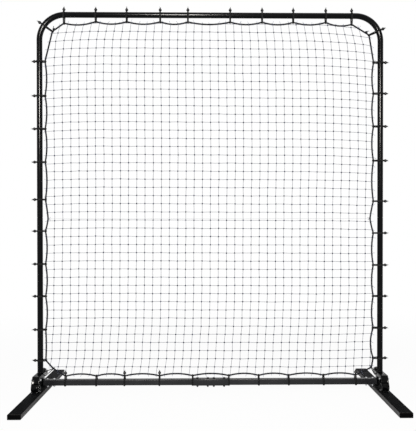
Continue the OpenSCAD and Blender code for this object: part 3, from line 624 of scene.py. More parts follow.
def cords(paths, radius, sides, closed=False, swell=None):
    """Mesh of round cords along paths; swell gives the radius's share at each point of a path."""
    curve = bpy.data.curves.new("cords", "CURVE")
    curve.dimensions = "3D"
    curve.bevel_depth = radius
    curve.bevel_resolution = (sides - 4) // 2
    curve.use_fill_caps = True
    for path in paths:
        spline = curve.splines.new("POLY")
        spline.points.add(len(path) - 1)
        for index, (point, place) in enumerate(zip(spline.points, path)):
            point.co = (*place, 1.0)
            point.radius = swell(index, len(path)) if swell else 1.0
        spline.use_cyclic_u = closed
    holder = bpy.data.objects.new("cords", curve)
    mesh = bpy.data.meshes.new_from_object(holder)
    bpy.data.objects.remove(holder)
    bpy.data.curves.remove(curve)
    return mesh


def finished(bm):
    """Mesh of a bmesh, which is used up."""
    mesh = bpy.data.meshes.new("finished")
    bm.to_mesh(mesh)
    bm.free()
    return mesh


def joined(meshes):
    """One mesh that holds all the given meshes, which are used up."""
    bm = bmesh.new()
    for mesh in meshes:
        bm.from_mesh(mesh)
        bpy.data.meshes.remove(mesh)
    return finished(bm)


def frame_to(origin, along, up):
    """Matrix that puts +X along a direction and +Z as near to up as it can, at an origin."""
    x = along.normalized()
    y = up.cross(x).normalized()
    z = x.cross(y)
    turn = Matrix((x, y, z)).transposed().to_4x4()
    return Matrix.Translation(origin) @ turn


def loop_round(places, radii):
    """Outline pulled tight round circles in a plane, listed anticlockwise as (x, y) points."""
    circles = list(zip([Vector(place) for place in places], radii))
    ways = []
    for (centre, radius), (after, next_radius) in zip(circles, circles[1:] + circles[:1]):
        span = after - centre
        ways.append(math.atan2(span.y, span.x) - math.acos((radius - next_radius) / span.length))
    outline = []
    for (centre, radius), start, end in zip(circles, ways[-1:] + ways, ways):
        turn = (end - start) % math.tau
        steps = max(2, round(ROUND_STEPS * turn / math.tau))
        for k in range(steps + 1):
            angle = start + turn * k / steps
            outline.append(centre + radius * Vector((math.cos(angle), math.sin(angle))))
    return outline


def knot_loop(centre, across, beside, out, radius, swing, rise, twist=0.0):
    """Closed path of an overhand knot: a three-lobed loop that rises and falls along out."""
    path = []
    for k in range(KNOT_POINTS):
        a = math.tau * k / KNOT_POINTS
        r = radius * (1 + swing * math.cos(3 * a))
        path.append(centre + out * rise * math.sin(3 * a)
                    + r * (across * math.cos(2 * a + twist) + beside * math.sin(2 * a + twist)))
    return path


# ---------------------------------------------------------------- border rope

BAY_STEP = 12 * MM                     # between the points of a bay's bow
ROPE_STEP = 4 * MM                     # between the points of the finished path
STRANDS = 3
STRAND_SQUASH = 1.06                   # strands are drawn this much larger, pressed together


def bay(start, end, sag):
    """Points from start towards end, without the end, bowed by the sag vector."""
    steps = max(2, round((end - start).length / BAY_STEP))
    return [start.lerp(end, k / steps) + sag * (4 * (k / steps) * (1 - k / steps))
            for k in range(steps)]


def side_bay(side, start, end):
    """A side bay: bowed inwards, or drawn to a point where the waist line is tied."""
    if min(start.z, end.z) < WAIST_Z < max(start.z, end.z):
        drawn = in_plane(start.x - side * WAIST_DRAW[side], WAIST_Z)
        slack = -side * WAIST_SLACK * X
        return bay(start, drawn, slack) + bay(drawn, end, slack)
    lowest = min(start.z, end.z) < (LEFT_Z[0] + LEFT_Z[1]) / 2
    return bay(start, end, -side * (LOW_SAG[side] if lowest else SAG_SIDE) * X)


def rope_centreline():
    """Closed clockwise path of the border rope: pulled out at each tie, bowed in between."""
    left = [in_plane(LEFT_ROPE_X, z) for z in LEFT_Z]
    top = [in_plane(x, z) for x, z in TOP_TIES]
    right = [in_plane(RIGHT_ROPE_X, z) for z in reversed(RIGHT_Z)]
    bottom = [in_plane(x, LOW_ROPE_Z) for x in reversed(BOTTOM_X)]
    knots = {side: bend_centre(side) + (BEND_RADIUS - KNOT_DROP) * corner_way(side)
             for side in (-1, 1)}
    sides = ((left, knots[-1], lambda a, b: side_bay(-1, a, b)),
             (top, knots[1], lambda a, b: bay(a, b, -SAG_TOP * Z)),
             (right, low_knot(1), lambda a, b: side_bay(1, a, b)),
             (bottom, low_knot(-1), lambda a, b: bay(a, b, SAG_BOTTOM * Z)))
    path = []
    for k, (ties, knot, bowed) in enumerate(sides):
        for start, end in zip(ties, ties[1:]):
            path += bowed(start, end)
        following = sides[(k + 1) % len(sides)][0][0]
        path += bay(ties[-1], knot, Vector()) + bay(knot, following, Vector())
    return path


def resampled(path, step):
    """The closed path with points an even step apart, and whole steps in all."""
    points = path + path[:1]
    lengths = [(b - a).length for a, b in zip(points, points[1:])]
    count = max(2, round(sum(lengths) / step))
    even = sum(lengths) / count
    result = []
    index, gone = 0, 0.0
    for k in range(count):
        target = k * even
        while index < len(lengths) - 1 and gone + lengths[index] < target:
            gone += lengths[index]
            index += 1
        share = min(1.0, (target - gone) / lengths[index]) if lengths[index] else 0.0
        result.append(points[index].lerp(points[index + 1], share))
    return result


def eased_path(path, reach):
    """Closed path with its kinks rounded over a few points."""
    count = len(path)
    return [sum((path[(i + k) % count] for k in range(-reach, reach + 1)), Vector())
            / (2 * reach + 1) for i in range(count)]


ROPE_PATH = eased_path(resampled(rope_centreline(), ROPE_STEP), 1)


def rope_way(i):
    """Direction of the rope at point i of its path."""
    return (ROPE_PATH[(i + 1) % len(ROPE_PATH)] - ROPE_PATH[i - 1]).normalized()


def round_rope(i, radius, angle, shift=0.0):
    """Place at a radius and angle round point i of the rope's path, shifted along it."""
    along = rope_way(i)
    beside = math.cos(angle) * Y + math.sin(angle) * along.cross(Y)
    return ROPE_PATH[i] + along * shift + radius * beside


class REBOUNDER_OT_border_rope(bpy.types.Operator):
    """Make the three-strand rope that borders the net"""
    bl_idname = "rebounder.border_rope"
    bl_label = "Border Rope"

    def execute(self, context):
        net = context.scene.rebounder_net
        strand_r = ROPE_R * net.fullness / (1 + 2 / math.sqrt(3))
        off_centre = ROPE_R * net.fullness - strand_r
        turns = round(len(ROPE_PATH) * ROPE_STEP / net.lay)
        points = len(ROPE_PATH)
        strands = [[round_rope(i, off_centre, math.tau * (turns * i / points + strand / STRANDS))
                    for i in range(points)] for strand in range(STRANDS)]
        mesh = cords(strands, strand_r * STRAND_SQUASH, 6, closed=True)
        add_piece("laid_border_rope", mesh, "frame", "rope", ["border_rope"])
        return {"FINISHED"}


# ---------------------------------------------------------------- net

NET_COLUMNS = 20                       # columns to each side of the middle one, past the rope
NET_ROWS = 23
NET_X = -5.5 * MM                      # the middle column
NET_Z = 1061 * MM                      # the middle row
NET_TILT = 0.2 * MM                    # how much lower each column hangs than the one left of it
# Rows are counted down from the middle one. At some rows: the columns' sway, and how far the
# frame's sides draw the outermost columns outwards
SWAY = [(-22, 1.5 * MM), (-18, 2.7 * MM), (-11, 5.6 * MM), (-6, 7 * MM), (0, 4.2 * MM),
        (7, 2.5 * MM), (11, 1.5 * MM), (14, -2 * MM), (18, -11.5 * MM), (22, -26 * MM)]
OUTWARD = [(-22, -36 * MM), (-20, -11 * MM), (-18, -0.5 * MM), (-14, 4.5 * MM), (-6, 5 * MM),
           (0, 1 * MM), (5, 2.5 * MM), (11, 4.5 * MM), (14, 1.5 * MM), (18, 2.6 * MM),
           (22, 12 * MM)]
# How far the rows droop towards a side, at the top and at the bottom
DROOP = {-1: (16 * MM, 1 * MM), 1: (24 * MM, -8 * MM)}
DROOP_START = 12                       # column where the droop begins
DROOP_ROWS = (-22, 18)                 # rows between which it changes from top to bottom
RIPPLE, RIPPLE_SCALE = 1.5 * MM, 0.35  # gentle waves of the net out of its plane, and their size
KNOT_CLEAR = 7 * MM                    # least distance of a knot from the rope
KNOT_SIZE = (0.5, 0.27, 0.34)          # half sizes of a knot's lumps, by the knot's size
KNOT_LUMPS = ((0, -0.14), (1.6, 0.14))  # turn and out-of-plane shift of each of its lumps
HALVINGS = 14                          # tries for the place where a twine meets the rope
SHORT_RUN = 3                          # twines of no more points than this are left out
LACE_TURNS, LACE_STEPS = 1.75, 16      # turns of the lacing round the rope, and points in them
LACE_R = 0.42                          # the lacing's radius, by the twine's diameter
CORNER_LASHINGS = ((-882 * MM, 2047 * MM), (878 * MM, 2029 * MM))
# Radii of a lashing's loop, of its cord and of its thinner cut ends
LASHING_R, LASHING_CORD_R, LASHING_END_R = 4.6 * MM, 2.6 * MM, 1.8 * MM
WAIST_R = 0.2                          # the waist line's radius, by the twine's diameter
WAIST_TAIL_R = 0.9 * MM                # radius of its knots and cut ends
WAIST_TAIL = ((8 * MM, 3 * MM), (15 * MM, 8 * MM))     # how far a cut end goes in, and up or down
WAIST_TURN_POINTS = 26                 # points of its turns round the rope


def between_stops(value, stops):
    """Smooth value between given (position, value) stops."""
    if value <= stops[0][0]:
        return stops[0][1]
    for (a, low), (b, high) in zip(stops, stops[1:]):
        if value <= b:
            share = (value - a) / (b - a)
            return low + (high - low) * share * share * (3 - 2 * share)
    return stops[-1][1]


def net_node(i, j, mesh, unevenness, rng):
    """Place of the net's knot in column i and row j, both counted from the middle."""
    side = -1 if i < 0 else 1
    top, bottom = DROOP[side]
    edge = max(0, abs(i) - DROOP_START) / (NET_COLUMNS - DROOP_START)
    first, last = DROOP_ROWS
    droop = top + (bottom - top) * min(1, max(0, (j - first) / (last - first)))
    x = NET_X + i * mesh + between_stops(j, SWAY) + between_stops(j, OUTWARD) * i / NET_COLUMNS
    z = NET_Z - j * mesh - NET_TILT * i - droop * edge ** 2
    slack = RIPPLE * noise.noise(Vector((i * RIPPLE_SCALE, j * RIPPLE_SCALE, 0)))
    return Vector((x + rng.uniform(-1, 1) * unevenness, PLANE_Y + slack,
                   z + rng.uniform(-1, 1) * unevenness))


ROPE_OUTLINE = [(p.x, p.z) for p in ROPE_PATH[::2]]      # coarser, for tests in the net's plane


def inside(point):
    """Whether a point of the net's plane lies inside the rope."""
    crossings = 0
    for (ax, az), (bx, bz) in zip(ROPE_OUTLINE, ROPE_OUTLINE[1:] + ROPE_OUTLINE[:1]):
        if (az > point.z) != (bz > point.z):
            crossings += point.x < ax + (point.z - az) / (bz - az) * (bx - ax)
    return crossings % 2 == 1


def rope_crossing(a, b):
    """Where the run from a, inside, to b, outside, meets the rope: by halving."""
    for _ in range(HALVINGS):
        mid = (a + b) / 2
        if inside(mid):
            a = mid
        else:
            b = mid
    return (a + b) / 2


def nearest_on_rope(place):
    """Index of the rope path's point nearest to a place."""
    return min(range(len(ROPE_PATH)), key=lambda k: (ROPE_PATH[k] - place).length_squared)


def net_runs(grid):
    """Twines between their two ends on the rope, and those ends with their outward ways."""
    lines = [[grid[i, j] for j in range(-NET_ROWS, NET_ROWS + 1)]
             for i in range(-NET_COLUMNS, NET_COLUMNS + 1)]
    lines += [[grid[i, j] for i in range(-NET_COLUMNS - 1, NET_COLUMNS + 2)]
              for j in range(-NET_ROWS, NET_ROWS + 1)]
    runs, ends = [], []
    for line in lines:
        kept = [inside(p) for p in line]
        run = []
        for k, place in enumerate(line):
            if kept[k]:
                if not run and k > 0:
                    run.append(rope_crossing(place, line[k - 1]))
                    ends.append((run[0], (line[k - 1] - place).normalized()))
                run.append(place)
            elif run:
                run.append(rope_crossing(line[k - 1], place))
                ends.append((run[-1], (place - line[k - 1]).normalized()))
                if len(run) > SHORT_RUN:
                    runs.append(run)
                else:
                    del ends[-2:]
                run = []
    return runs, ends


def jitter(rng):
    """A random offset of up to 1 along each axis."""
    return Vector((rng.uniform(-1, 1), rng.uniform(-1, 1), rng.uniform(-1, 1)))


class REBOUNDER_OT_net(bpy.types.Operator):
    """Knot the net and lace its edge to the border rope"""
    bl_idname = "rebounder.net"
    bl_label = "Net"

    def execute(self, context):
        net = context.scene.rebounder_net
        rng = random.Random(4)
        grid = {(i, j): net_node(i, j, net.mesh, net.unevenness, rng)
                for i in range(-NET_COLUMNS - 1, NET_COLUMNS + 2)
                for j in range(-NET_ROWS, NET_ROWS + 1)}
        runs, ends = net_runs(grid)
        twines = []
        for run in runs:
            path = [run[0]]
            for a, b in zip(run, run[1:]):
                path += [(a + b) / 2 + jitter(rng) * 0.5 * net.unevenness, b]
            twines.append(path)
        mesh = cords(twines, net.twine / 2, 6)
        add_piece("net_twine", mesh, "frame", "netting", ["net"])
        self.tie_knots(grid, net, rng)
        self.lace(ends, net, rng)
        self.waist_line(net)
        self.corner_lashings()
        return {"FINISHED"}

    def knot_mesh(self, net):
        """A sheet bend in miniature: two lumps of twine, one over the other."""
        bm = bmesh.new()
        size = Matrix.Diagonal([net.knot * half for half in KNOT_SIZE] + [1])
        for turn, lift in KNOT_LUMPS:
            where = Matrix.Translation(Y * lift * net.knot) @ Matrix.Rotation(turn, 4, "Y")
            bmesh.ops.create_uvsphere(bm, u_segments=7, v_segments=4, radius=1,
                                      matrix=where @ size)
        return finished(bm)

    def tie_knots(self, grid, net, rng):
        """A knot at each crossing, turned one way or the other, joined row by row."""
        knot = self.knot_mesh(net)
        rows = []
        for j in range(-NET_ROWS, NET_ROWS + 1):
            bm = bmesh.new()
            for i in range(-NET_COLUMNS, NET_COLUMNS + 1):
                place = grid[i, j]
                if (not inside(place)
                        or (ROPE_PATH[nearest_on_rope(place)] - place).length < KNOT_CLEAR):
                    continue
                lean = rng.choice((-1, 1)) * rng.uniform(0.5, 0.9)
                copy = knot.copy()
                copy.transform(Matrix.Translation(place) @ Matrix.Rotation(lean, 4, "Y"))
                bm.from_mesh(copy)
                bpy.data.meshes.remove(copy)
            rows.append(finished(bm))
        bpy.data.meshes.remove(knot)
        add_piece("net_knots", joined(rows), "frame", "netting")

    def lace(self, ends, net, rng):
        """Two turns of twine round the rope at each end, and the cut tail past them."""
        coils, tails = [], []
        wrap_r = ROPE_R * net.fullness
        for place, outward in ends:
            k = nearest_on_rope(place)
            along = rope_way(k)
            turned = [LACE_TURNS * t / LACE_STEPS for t in range(LACE_STEPS + 1)]
            coils.append([round_rope(k, wrap_r, math.tau * turn,
                                     net.twine * (turn - LACE_TURNS / 2)) for turn in turned])
            length = net.tail * rng.uniform(0.35, 1.0)
            lean = along * rng.uniform(-0.9, 0.9) + Y * rng.uniform(-0.5, 0.2)
            way = (outward + lean).normalized()
            root = ROPE_PATH[k] + outward * ROPE_R * 0.6
            tip = root + way * (length + ROPE_R)
            bend = root.lerp(tip, 0.5) + along * rng.uniform(-1, 1) * length * 0.15
            tails.append([root, bend, tip])
        mesh = cords(coils, net.twine * LACE_R, 6)
        add_piece("net_lacing", mesh, "frame", "netting")
        mesh = cords(tails, net.twine * LACE_R, 6, swell=lambda i, n: (1.0, 0.9, 1.25)[i])
        add_piece("net_cut_ends", mesh, "frame", "netting", material="cut_twine")

    def waist_line(self, net):
        """The thin line that draws the rope in at mid-height, tied round it at both ends."""
        rng = random.Random(11)
        radius, rope_r = WAIST_R * net.twine, ROPE_R * net.fullness
        first = nearest_on_rope(in_plane(LEFT_ROPE_X + WAIST_DRAW[-1], WAIST_Z))
        last = nearest_on_rope(in_plane(RIGHT_ROPE_X - WAIST_DRAW[1], WAIST_Z))
        start, end = ROPE_PATH[first], ROPE_PATH[last]
        steps = 2 * NET_COLUMNS
        line = [start.lerp(end, k / steps) - Y * net.twine
                + Z * rng.uniform(-0.6, 0.6) * MM * (0 < k < steps) for k in range(steps + 1)]
        mesh = cords([line], radius, 6)
        knots, tails = [], []
        for k, inward in ((first, X), (last, -X)):
            knots.append([round_rope(k, rope_r, t / 2, radius * (t / 6 - 2))
                          for t in range(WAIST_TURN_POINTS)])
            front = ROPE_PATH[k] - Y * rope_r
            (near, low), (far, high) = WAIST_TAIL
            for way in (-1, 1):
                tails.append([front, front + inward * near + Z * way * low,
                              ROPE_PATH[k] - Y * ROPE_R + inward * far + Z * way * high])
        ties = cords(knots + tails, WAIST_TAIL_R, 6)
        add_piece("net_waist_line", joined([mesh, ties]), "frame", "netting")

    def corner_lashings(self):
        """A knot of lashing cord on the rope beside each top corner."""
        loops, tails = [], []
        for x, z in CORNER_LASHINGS:
            k = nearest_on_rope(in_plane(x, z))
            along = rope_way(k)
            out = along.cross(Y)
            if out.z < 0:
                out.negate()
            centre = ROPE_PATH[k] + out * ROPE_R * 2.2
            loops.append(knot_loop(centre, along, Y, out, LASHING_R, 0.3, 1.6 * MM))
            tails.append([centre, centre + (out + 0.4 * along) * 8 * MM,
                          centre + (out + 0.9 * along) * 12 * MM])
        mesh = joined([cords(loops, LASHING_CORD_R, 6, closed=True),
                       cords(tails, LASHING_END_R, 6)])
        add_piece("rope_corner_lashings", mesh, "frame", "rope")


# ---------------------------------------------------------------- ball bungees

MOULD_SEAM = 0.25 * MM                 # height of the seam round a ball
STEM_R = CORD_R * 0.62                 # a stretched cord end, through the ball and in its knot
STEM_GAP = 1.2 * MM                    # from a ball's axis to each of its two cord ends
STEM_OUT = 2.5 * MM                    # how far the cord ends stand out of a ball's bore
STOPPER_OUT = 2.6 * MM                 # the same for the middle of the stopper knot
FRAY_OUT = 3 * MM                      # the same for the root of the frayed fibres
FRAY_SPREAD = 0.32                     # how widely the fibres fan out
STOPPER_R = 2.3 * MM                   # of the knot's loop
FIBRE_R = 0.45 * MM


@dataclass
class Tie:
    """A ball bungee: origin on its tube's centre, inward towards the rope, across its strands."""
    origin: Vector
    inward: Vector
    across: Vector
    outline: list
    ball: Vector
    ball_way: Vector

    def strand(self, offset):
        """Closed path of one strand at an offset along the tube."""
        depth = self.across.cross(self.inward)
        return [self.origin + self.inward * p.x + depth * p.y + self.across * offset
                for p in self.outline]


def tube_tie(origin, inward, reach):
    """A tie round a round tube whose rope hangs at the given reach."""
    outline = loop_round([(0, 0), (reach, 0)], [TUBE_R + GAP + CORD_R, ROPE_END_R + CORD_R])
    out = TUBE_R + 2 * GAP + CORD_D + BALL_HALF
    return Tie(origin, inward, inward.cross(Y).normalized(), outline,
               origin - inward * out, -inward)


def bar_tie(x):
    """A tie round the square crossbar, with its ball above the rope or behind the bar."""
    half = BAR_HALF - BAR_CORNER
    reach = LOW_ROPE_Z - BAR_Z
    corner_r = BAR_CORNER + GAP + CORD_R
    places = [(-half, half), (-half, -half), (half, -half), (reach, 0), (half, half)]
    radii = [corner_r, corner_r, corner_r, ROPE_END_R + CORD_R, corner_r]
    origin = in_plane(x, BAR_Z)
    outline = loop_round(places, radii)
    height = min(BOTTOM_BALLS.items(), key=lambda item: abs(item[0] - x))[1]
    if height > LOW_ROPE_Z:
        return Tie(origin, Z, X, outline, in_plane(x, height), Z)
    ball = origin + Y * (BAR_HALF + 2 * GAP + CORD_D + BALL_HALF)
    return Tie(origin, Z, X, outline, ball, Y)


def all_ties():
    """Every bungee by the CAD node of its row."""
    return {
        "left_bungees": [tube_tie(in_plane(-UPRIGHT_X, z), X, LEFT_ROPE_X + UPRIGHT_X)
                         for z in LEFT_Z],
        "right_bungees": [tube_tie(in_plane(UPRIGHT_X, z), -X, UPRIGHT_X - RIGHT_ROPE_X)
                          for z in RIGHT_Z],
        "top_bungees": [tube_tie(in_plane(x, TOP_Z), -Z, TOP_Z - z) for x, z in TOP_TIES],
        "bottom_bungees": [bar_tie(x) for x in BOTTOM_X],
        "corner_bungees": [tube_tie(bend_centre(side) + BEND_RADIUS * corner_way(side),
                                    -corner_way(side), KNOT_DROP) for side in (-1, 1)],
    }


def arm_path(side, offset):
    """Closed path of a low corner cord: round the rope's knot and under the bracket's arm."""
    arm_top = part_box(("left" if side < 0 else "right") + "_foot_bracket")[1].z
    arm_bottom = arm_top - ARM_HEIGHT
    knot = low_knot(side)
    centre_x = side * UPRIGHT_X
    wide = ARM_HALF_W + CORD_R + GAP
    inner, outer = centre_x - side * wide, centre_x + side * wide
    turned_in, turned_out = inner + side * CORD_R, outer - side * CORD_R
    back = PLANE_Y + LOW_TIE_Y + offset
    way = (knot - Vector((centre_x - side * ARM_HALF_W, PLANE_Y, arm_top))).normalized()
    reach = ROPE_R + CORD_R + 2 * ROPE_ROOM
    over = [knot + way * reach * math.cos(a) + Y * (reach * math.sin(a) + offset * 0.5)
            for a in (math.radians(180 - 30 * k) for k in range(7))]
    # Where a corner of the arm begins and ends to turn the cord, below it and above it
    low_side, low_face = arm_bottom - CORD_R * 0.6, arm_bottom - CORD_R - GAP
    high_side, high_face = arm_top + CORD_R * 0.6, arm_top + CORD_R + GAP
    return over + [Vector((x, back, z)) for x, z in (
        (inner, low_side), (turned_in, low_face), (turned_out, low_face), (outer, low_side),
        (outer, high_side), (turned_out, high_face), (turned_in, high_face),
        (inner, arm_top + CORD_R * 0.8))]


def ball_mesh():
    """A moulded ball with its bore along X: a profile spun round the bore."""
    steps = 10
    start = math.asin(BALL_BORE_R / BALL_R)
    profile = []
    for k in range(steps + 1):
        angle = start + (math.pi - 2 * start) * k / steps
        r = BALL_R + (MOULD_SEAM if k == steps // 2 else 0)
        profile.append(Vector((r * math.cos(angle), 0, r * math.sin(angle))))
    profile += [Vector((way * BALL_HALF * 0.7, 0, BALL_BORE_R * 0.85)) for way in (-1, 1)]
    bm = bmesh.new()
    verts = [bm.verts.new(p) for p in profile]
    edges = [bm.edges.new((a, b)) for a, b in zip(verts, verts[1:] + verts[:1])]
    bmesh.ops.spin(bm, geom=verts + edges, cent=(0, 0, 0), axis=(1, 0, 0),
                   angle=math.tau, steps=20, use_merge=True)
    bmesh.ops.recalc_face_normals(bm, faces=bm.faces)
    return finished(bm)


class REBOUNDER_OT_bungees(bpy.types.Operator):
    """Make the ball bungees that hold the net to the frame"""
    bl_idname = "rebounder.bungees"
    bl_label = "Ball Bungees"

    def execute(self, context):
        ties = context.scene.rebounder_ties
        rng = random.Random(9)
        ball_shape = ball_mesh()
        for node, row in all_ties().items():
            gap = (CORD_D + ties.splay) / 2
            strands = [tie.strand(offset) for tie in row for offset in (-gap, gap)]
            if node == "corner_bungees":
                for side in (-1, 1):
                    strands += [arm_path(side, offset) for offset in (-gap, gap)]
                row = row + [self.arm_ball(side) for side in (-1, 1)]
            ends, balls, fibres = [cords(strands, CORD_R, 8, closed=True)], [], []
            for tie in row:
                ball = ball_shape.copy()
                up = Y if abs(tie.ball_way.y) < 0.9 else Z
                spin = Matrix.Rotation(rng.uniform(0, math.tau), 4, "X")
                ball.transform(frame_to(tie.ball, tie.ball_way, up) @ spin)
                balls.append(ball)
                ends.append(self.stem_and_knot(tie, rng))
                fibres += self.fray(tie, ties, rng)
            name = node.replace("bungees", "bungee")
            add_piece(name + "_cords", joined(ends), "frame", "bungee_cord", [node])
            add_piece(name + "_beads", joined(balls), "frame", "ball_plastic",
                      [name + "_balls"], smooth_angle=math.radians(50))
            hair = cords(fibres, FIBRE_R, 4, swell=lambda i, n: (1.0, 0.9, 0.5)[i])
            add_piece(name + "_frays", hair, "frame", "bungee_cord", material="frayed_fibre")
        bpy.data.meshes.remove(ball_shape)
        return {"FINISHED"}

    def arm_ball(self, side):
        """The tie whose ball lies on the bracket's arm."""
        ball = corner_ball(side, upper=False)
        return Tie(ball, -side * X, Z, [], ball, -side * X)

    def stem_and_knot(self, tie, rng):
        """The two cord ends through a ball's bore, and the stopper knot outside it."""
        up = tie.across
        stems = cords([[tie.ball - tie.ball_way * (BALL_HALF + CORD_R) + up * side * CORD_R,
                        tie.ball + up * side * STEM_GAP,
                        tie.ball + tie.ball_way * (BALL_HALF + STEM_OUT) + up * side * STEM_GAP]
                       for side in (-1, 1)], STEM_R, 6)
        centre = tie.ball + tie.ball_way * (BALL_HALF + STOPPER_OUT)
        loop = knot_loop(centre, up, tie.ball_way.cross(up), tie.ball_way, STOPPER_R, 0.35,
                         1.1 * MM, twist=rng.uniform(0, 6.28))
        return joined([stems, cords([loop], STEM_R, 6, closed=True)])

    def fray(self, tie, ties, rng):
        """Loose fibres that fan out of the two cut cord ends."""
        root = tie.ball + tie.ball_way * (BALL_HALF + FRAY_OUT)
        side_way = tie.ball_way.cross(tie.across)
        fibres = []
        for end in (-1, 1):
            lean = tie.across * end * rng.uniform(0.15, 0.6) + side_way * rng.uniform(-0.4, 0.4)
            for _ in range(ties.fibres):
                spread = tie.across * rng.uniform(-1, 1) + side_way * rng.uniform(-1, 1)
                way = (tie.ball_way + lean + spread * FRAY_SPREAD).normalized()
                length = ties.tail * rng.uniform(0.6, 1.0)
                near = root + (tie.ball_way + lean).normalized() * length * 0.4
                fibres.append([root, near, near + way * length * 0.75])
        return fibres


# ---------------------------------------------------------------- metal

SHARP = math.radians(35)               # edges this sharp are rounded
FLAT = math.radians(0.5)               # facets closer than this become one face
SCREW_LEAD = 2 * MM
SCREW_TIP_R = 4 * MM                   # plain tip of an adjuster's screw, in its pad
THREAD_STEPS = 16                      # points to a turn of thread
SADDLE_T = 2 * MM                      # thickness of the plates under the hinge barrels
WELD_STEP = 0.9 * MM                   # between the ripples of a weld bead
FRAME_SIDES = (("left", -1), ("right", 1))


def slot_of(node):
    """The record's material slot of a CAD node."""
    return next(part["material_slot"] for part in frame["record"]["subparts"]
                if part["node"] == node)


def body_of(node):
    """The body that a CAD node rides on."""
    return next(body for body, members in frame["record"]["behaviour"]["bodies"].items()
                if node in members)


def round_edges(node, width):
    """A piece in place of a CAD node, with its sharp edges rounded."""
    bm = merged(node)
    bmesh.ops.dissolve_limit(bm, angle_limit=FLAT, verts=bm.verts, edges=bm.edges)
    edges = [e for e in bm.edges if e.is_manifold and e.calc_face_angle(0) > SHARP]
    bmesh.ops.bevel(bm, geom=edges, offset=width, offset_type="OFFSET", affect="EDGES",
                    segments=2, profile=0.5, material=-1, clamp_overlap=True)
    add_piece(node + "_finished", finished(bm), body_of(node), slot_of(node), [node],
              smooth_angle=math.radians(40))


class REBOUNDER_OT_metal(bpy.types.Operator):
    """Coat the tubes and round the edges of bars, plates and caps"""
    bl_idname = "rebounder.metal"
    bl_label = "Coated Metal"

    def execute(self, context):
        edge = context.scene.rebounder_metal.edge
        for node, shape in frame["nodes"].items():
            shape.data.materials.clear()
            shape.data.materials.append(finish_of(slot_of(node)))
        for node in ("crossbar_left", "crossbar_right", "crossbar_sleeve"):
            round_edges(node, edge)
        for side, _ in FRAME_SIDES:
            for part in ("foot_bracket", "hinge_barrel", "hinge_bushes", "leg", "leg_caps",
                         "adjuster_knob", "adjuster_pad", "hinge_pin"):
                round_edges(f"{side}_{part}", edge)
        return {"FINISHED"}


class REBOUNDER_OT_fasteners(bpy.types.Operator):
    """Round the corners of bolts, nuts and locking screws"""
    bl_idname = "rebounder.fasteners"
    bl_label = "Fasteners"

    def execute(self, context):
        edge = context.scene.rebounder_metal.edge
        for node in ("joint_screws", "sleeve_bolts", "sleeve_nuts", "crossbar_end_bolts",
                     "crossbar_end_nuts", "bracket_bolts", "bracket_nuts"):
            round_edges(node, edge * 0.8)
        return {"FINISHED"}


def rod(bm, x, y, low, high, radius):
    """A plain round rod along +Z."""
    where = Matrix.Translation((x, y, (low + high) / 2))
    bmesh.ops.create_cone(bm, cap_ends=True, segments=24, radius1=radius, radius2=radius,
                          depth=high - low, matrix=where)


def thread(bm, x, y, low, high, crest_r, pitch):
    """A screw thread along +Z: one tooth spun up the rod, round a plain core."""
    root_r = crest_r - 0.55 * pitch
    turns = int((high - low) / pitch) - 1
    tooth = [(root_r, 0), (crest_r, 0.42 * pitch), (crest_r, 0.58 * pitch), (root_r, pitch)]
    verts = [bm.verts.new((x + r, y, low + z)) for r, z in tooth]
    edges = [bm.edges.new(pair) for pair in zip(verts, verts[1:])]
    bmesh.ops.spin(bm, geom=verts + edges, cent=(x, y, 0), axis=(0, 0, 1),
                   dvec=(0, 0, pitch / THREAD_STEPS), angle=math.tau * turns,
                   steps=THREAD_STEPS * turns)
    rod(bm, x, y, low, high, root_r * 1.01)


class REBOUNDER_OT_adjusters(bpy.types.Operator):
    """Cut the threads of the two level adjusters"""
    bl_idname = "rebounder.adjusters"
    bl_label = "Adjuster Threads"

    def execute(self, context):
        for side, _ in FRAME_SIDES:
            node = side + "_adjuster_screw"
            low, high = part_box(node)
            pad_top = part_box(side + "_adjuster_pad")[1].z
            centre = (low + high) / 2
            bm = bmesh.new()
            thread(bm, centre.x, centre.y, pad_top + GAP, high.z, half_size(node).x, SCREW_LEAD)
            rod(bm, centre.x, centre.y, low.z, pad_top + SCREW_LEAD, SCREW_TIP_R)
            bmesh.ops.remove_doubles(bm, verts=bm.verts, dist=WELD)
            bmesh.ops.recalc_face_normals(bm, faces=bm.faces)
            add_piece(node + "_thread", finished(bm), body_of(node), "zinc", [node],
                      smooth_angle=math.radians(30))
        return {"FINISHED"}


def bead(start, end, width, rng):
    """Path of one weld bead, even steps along a slightly wandering line."""
    steps = max(4, round((end - start).length / WELD_STEP))
    across = (end - start).orthogonal().normalized()
    return [start.lerp(end, k / steps) + across * rng.uniform(-0.06, 0.06) * width
            for k in range(steps + 1)]


class REBOUNDER_OT_welds(bpy.types.Operator):
    """Lay the weld beads under the hinge barrels"""
    bl_idname = "rebounder.welds"
    bl_label = "Weld Beads"

    def execute(self, context):
        width = context.scene.rebounder_metal.weld
        for side, sign in FRAME_SIDES:
            rng = random.Random(20 + sign)
            low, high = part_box(side + "_hinge_barrel")
            centre_x = middle(side + "_hinge_barrel").x
            foot = (high.z - PIVOT.z) * 0.6 + 0.5 * MM   # from the pin to the barrel's weld
            reach = half_size(side + "_hinge_bushes").x - 3 * MM
            paths = []
            for way, edge in ((-1, low.y), (1, high.y)):
                for y, z, half in ((PIVOT.y + way * foot, LEG_TOP + SADDLE_T, reach),
                                   (edge, LEG_TOP, reach - 6 * MM)):
                    paths.append(bead(Vector((centre_x - half, y, z)),
                                      Vector((centre_x + half, y, z)), width, rng))
            mesh = cords(paths, width / 2, 8,
                         swell=lambda i, n: 0.55 if i in (0, n - 1) else (1.0, 0.8)[i % 2])
            add_piece(side + "_hinge_welds", mesh, side + "_folding_leg", slot_of(side + "_leg"))
        return {"FINISHED"}


# ---------------------------------------------------------------- studio

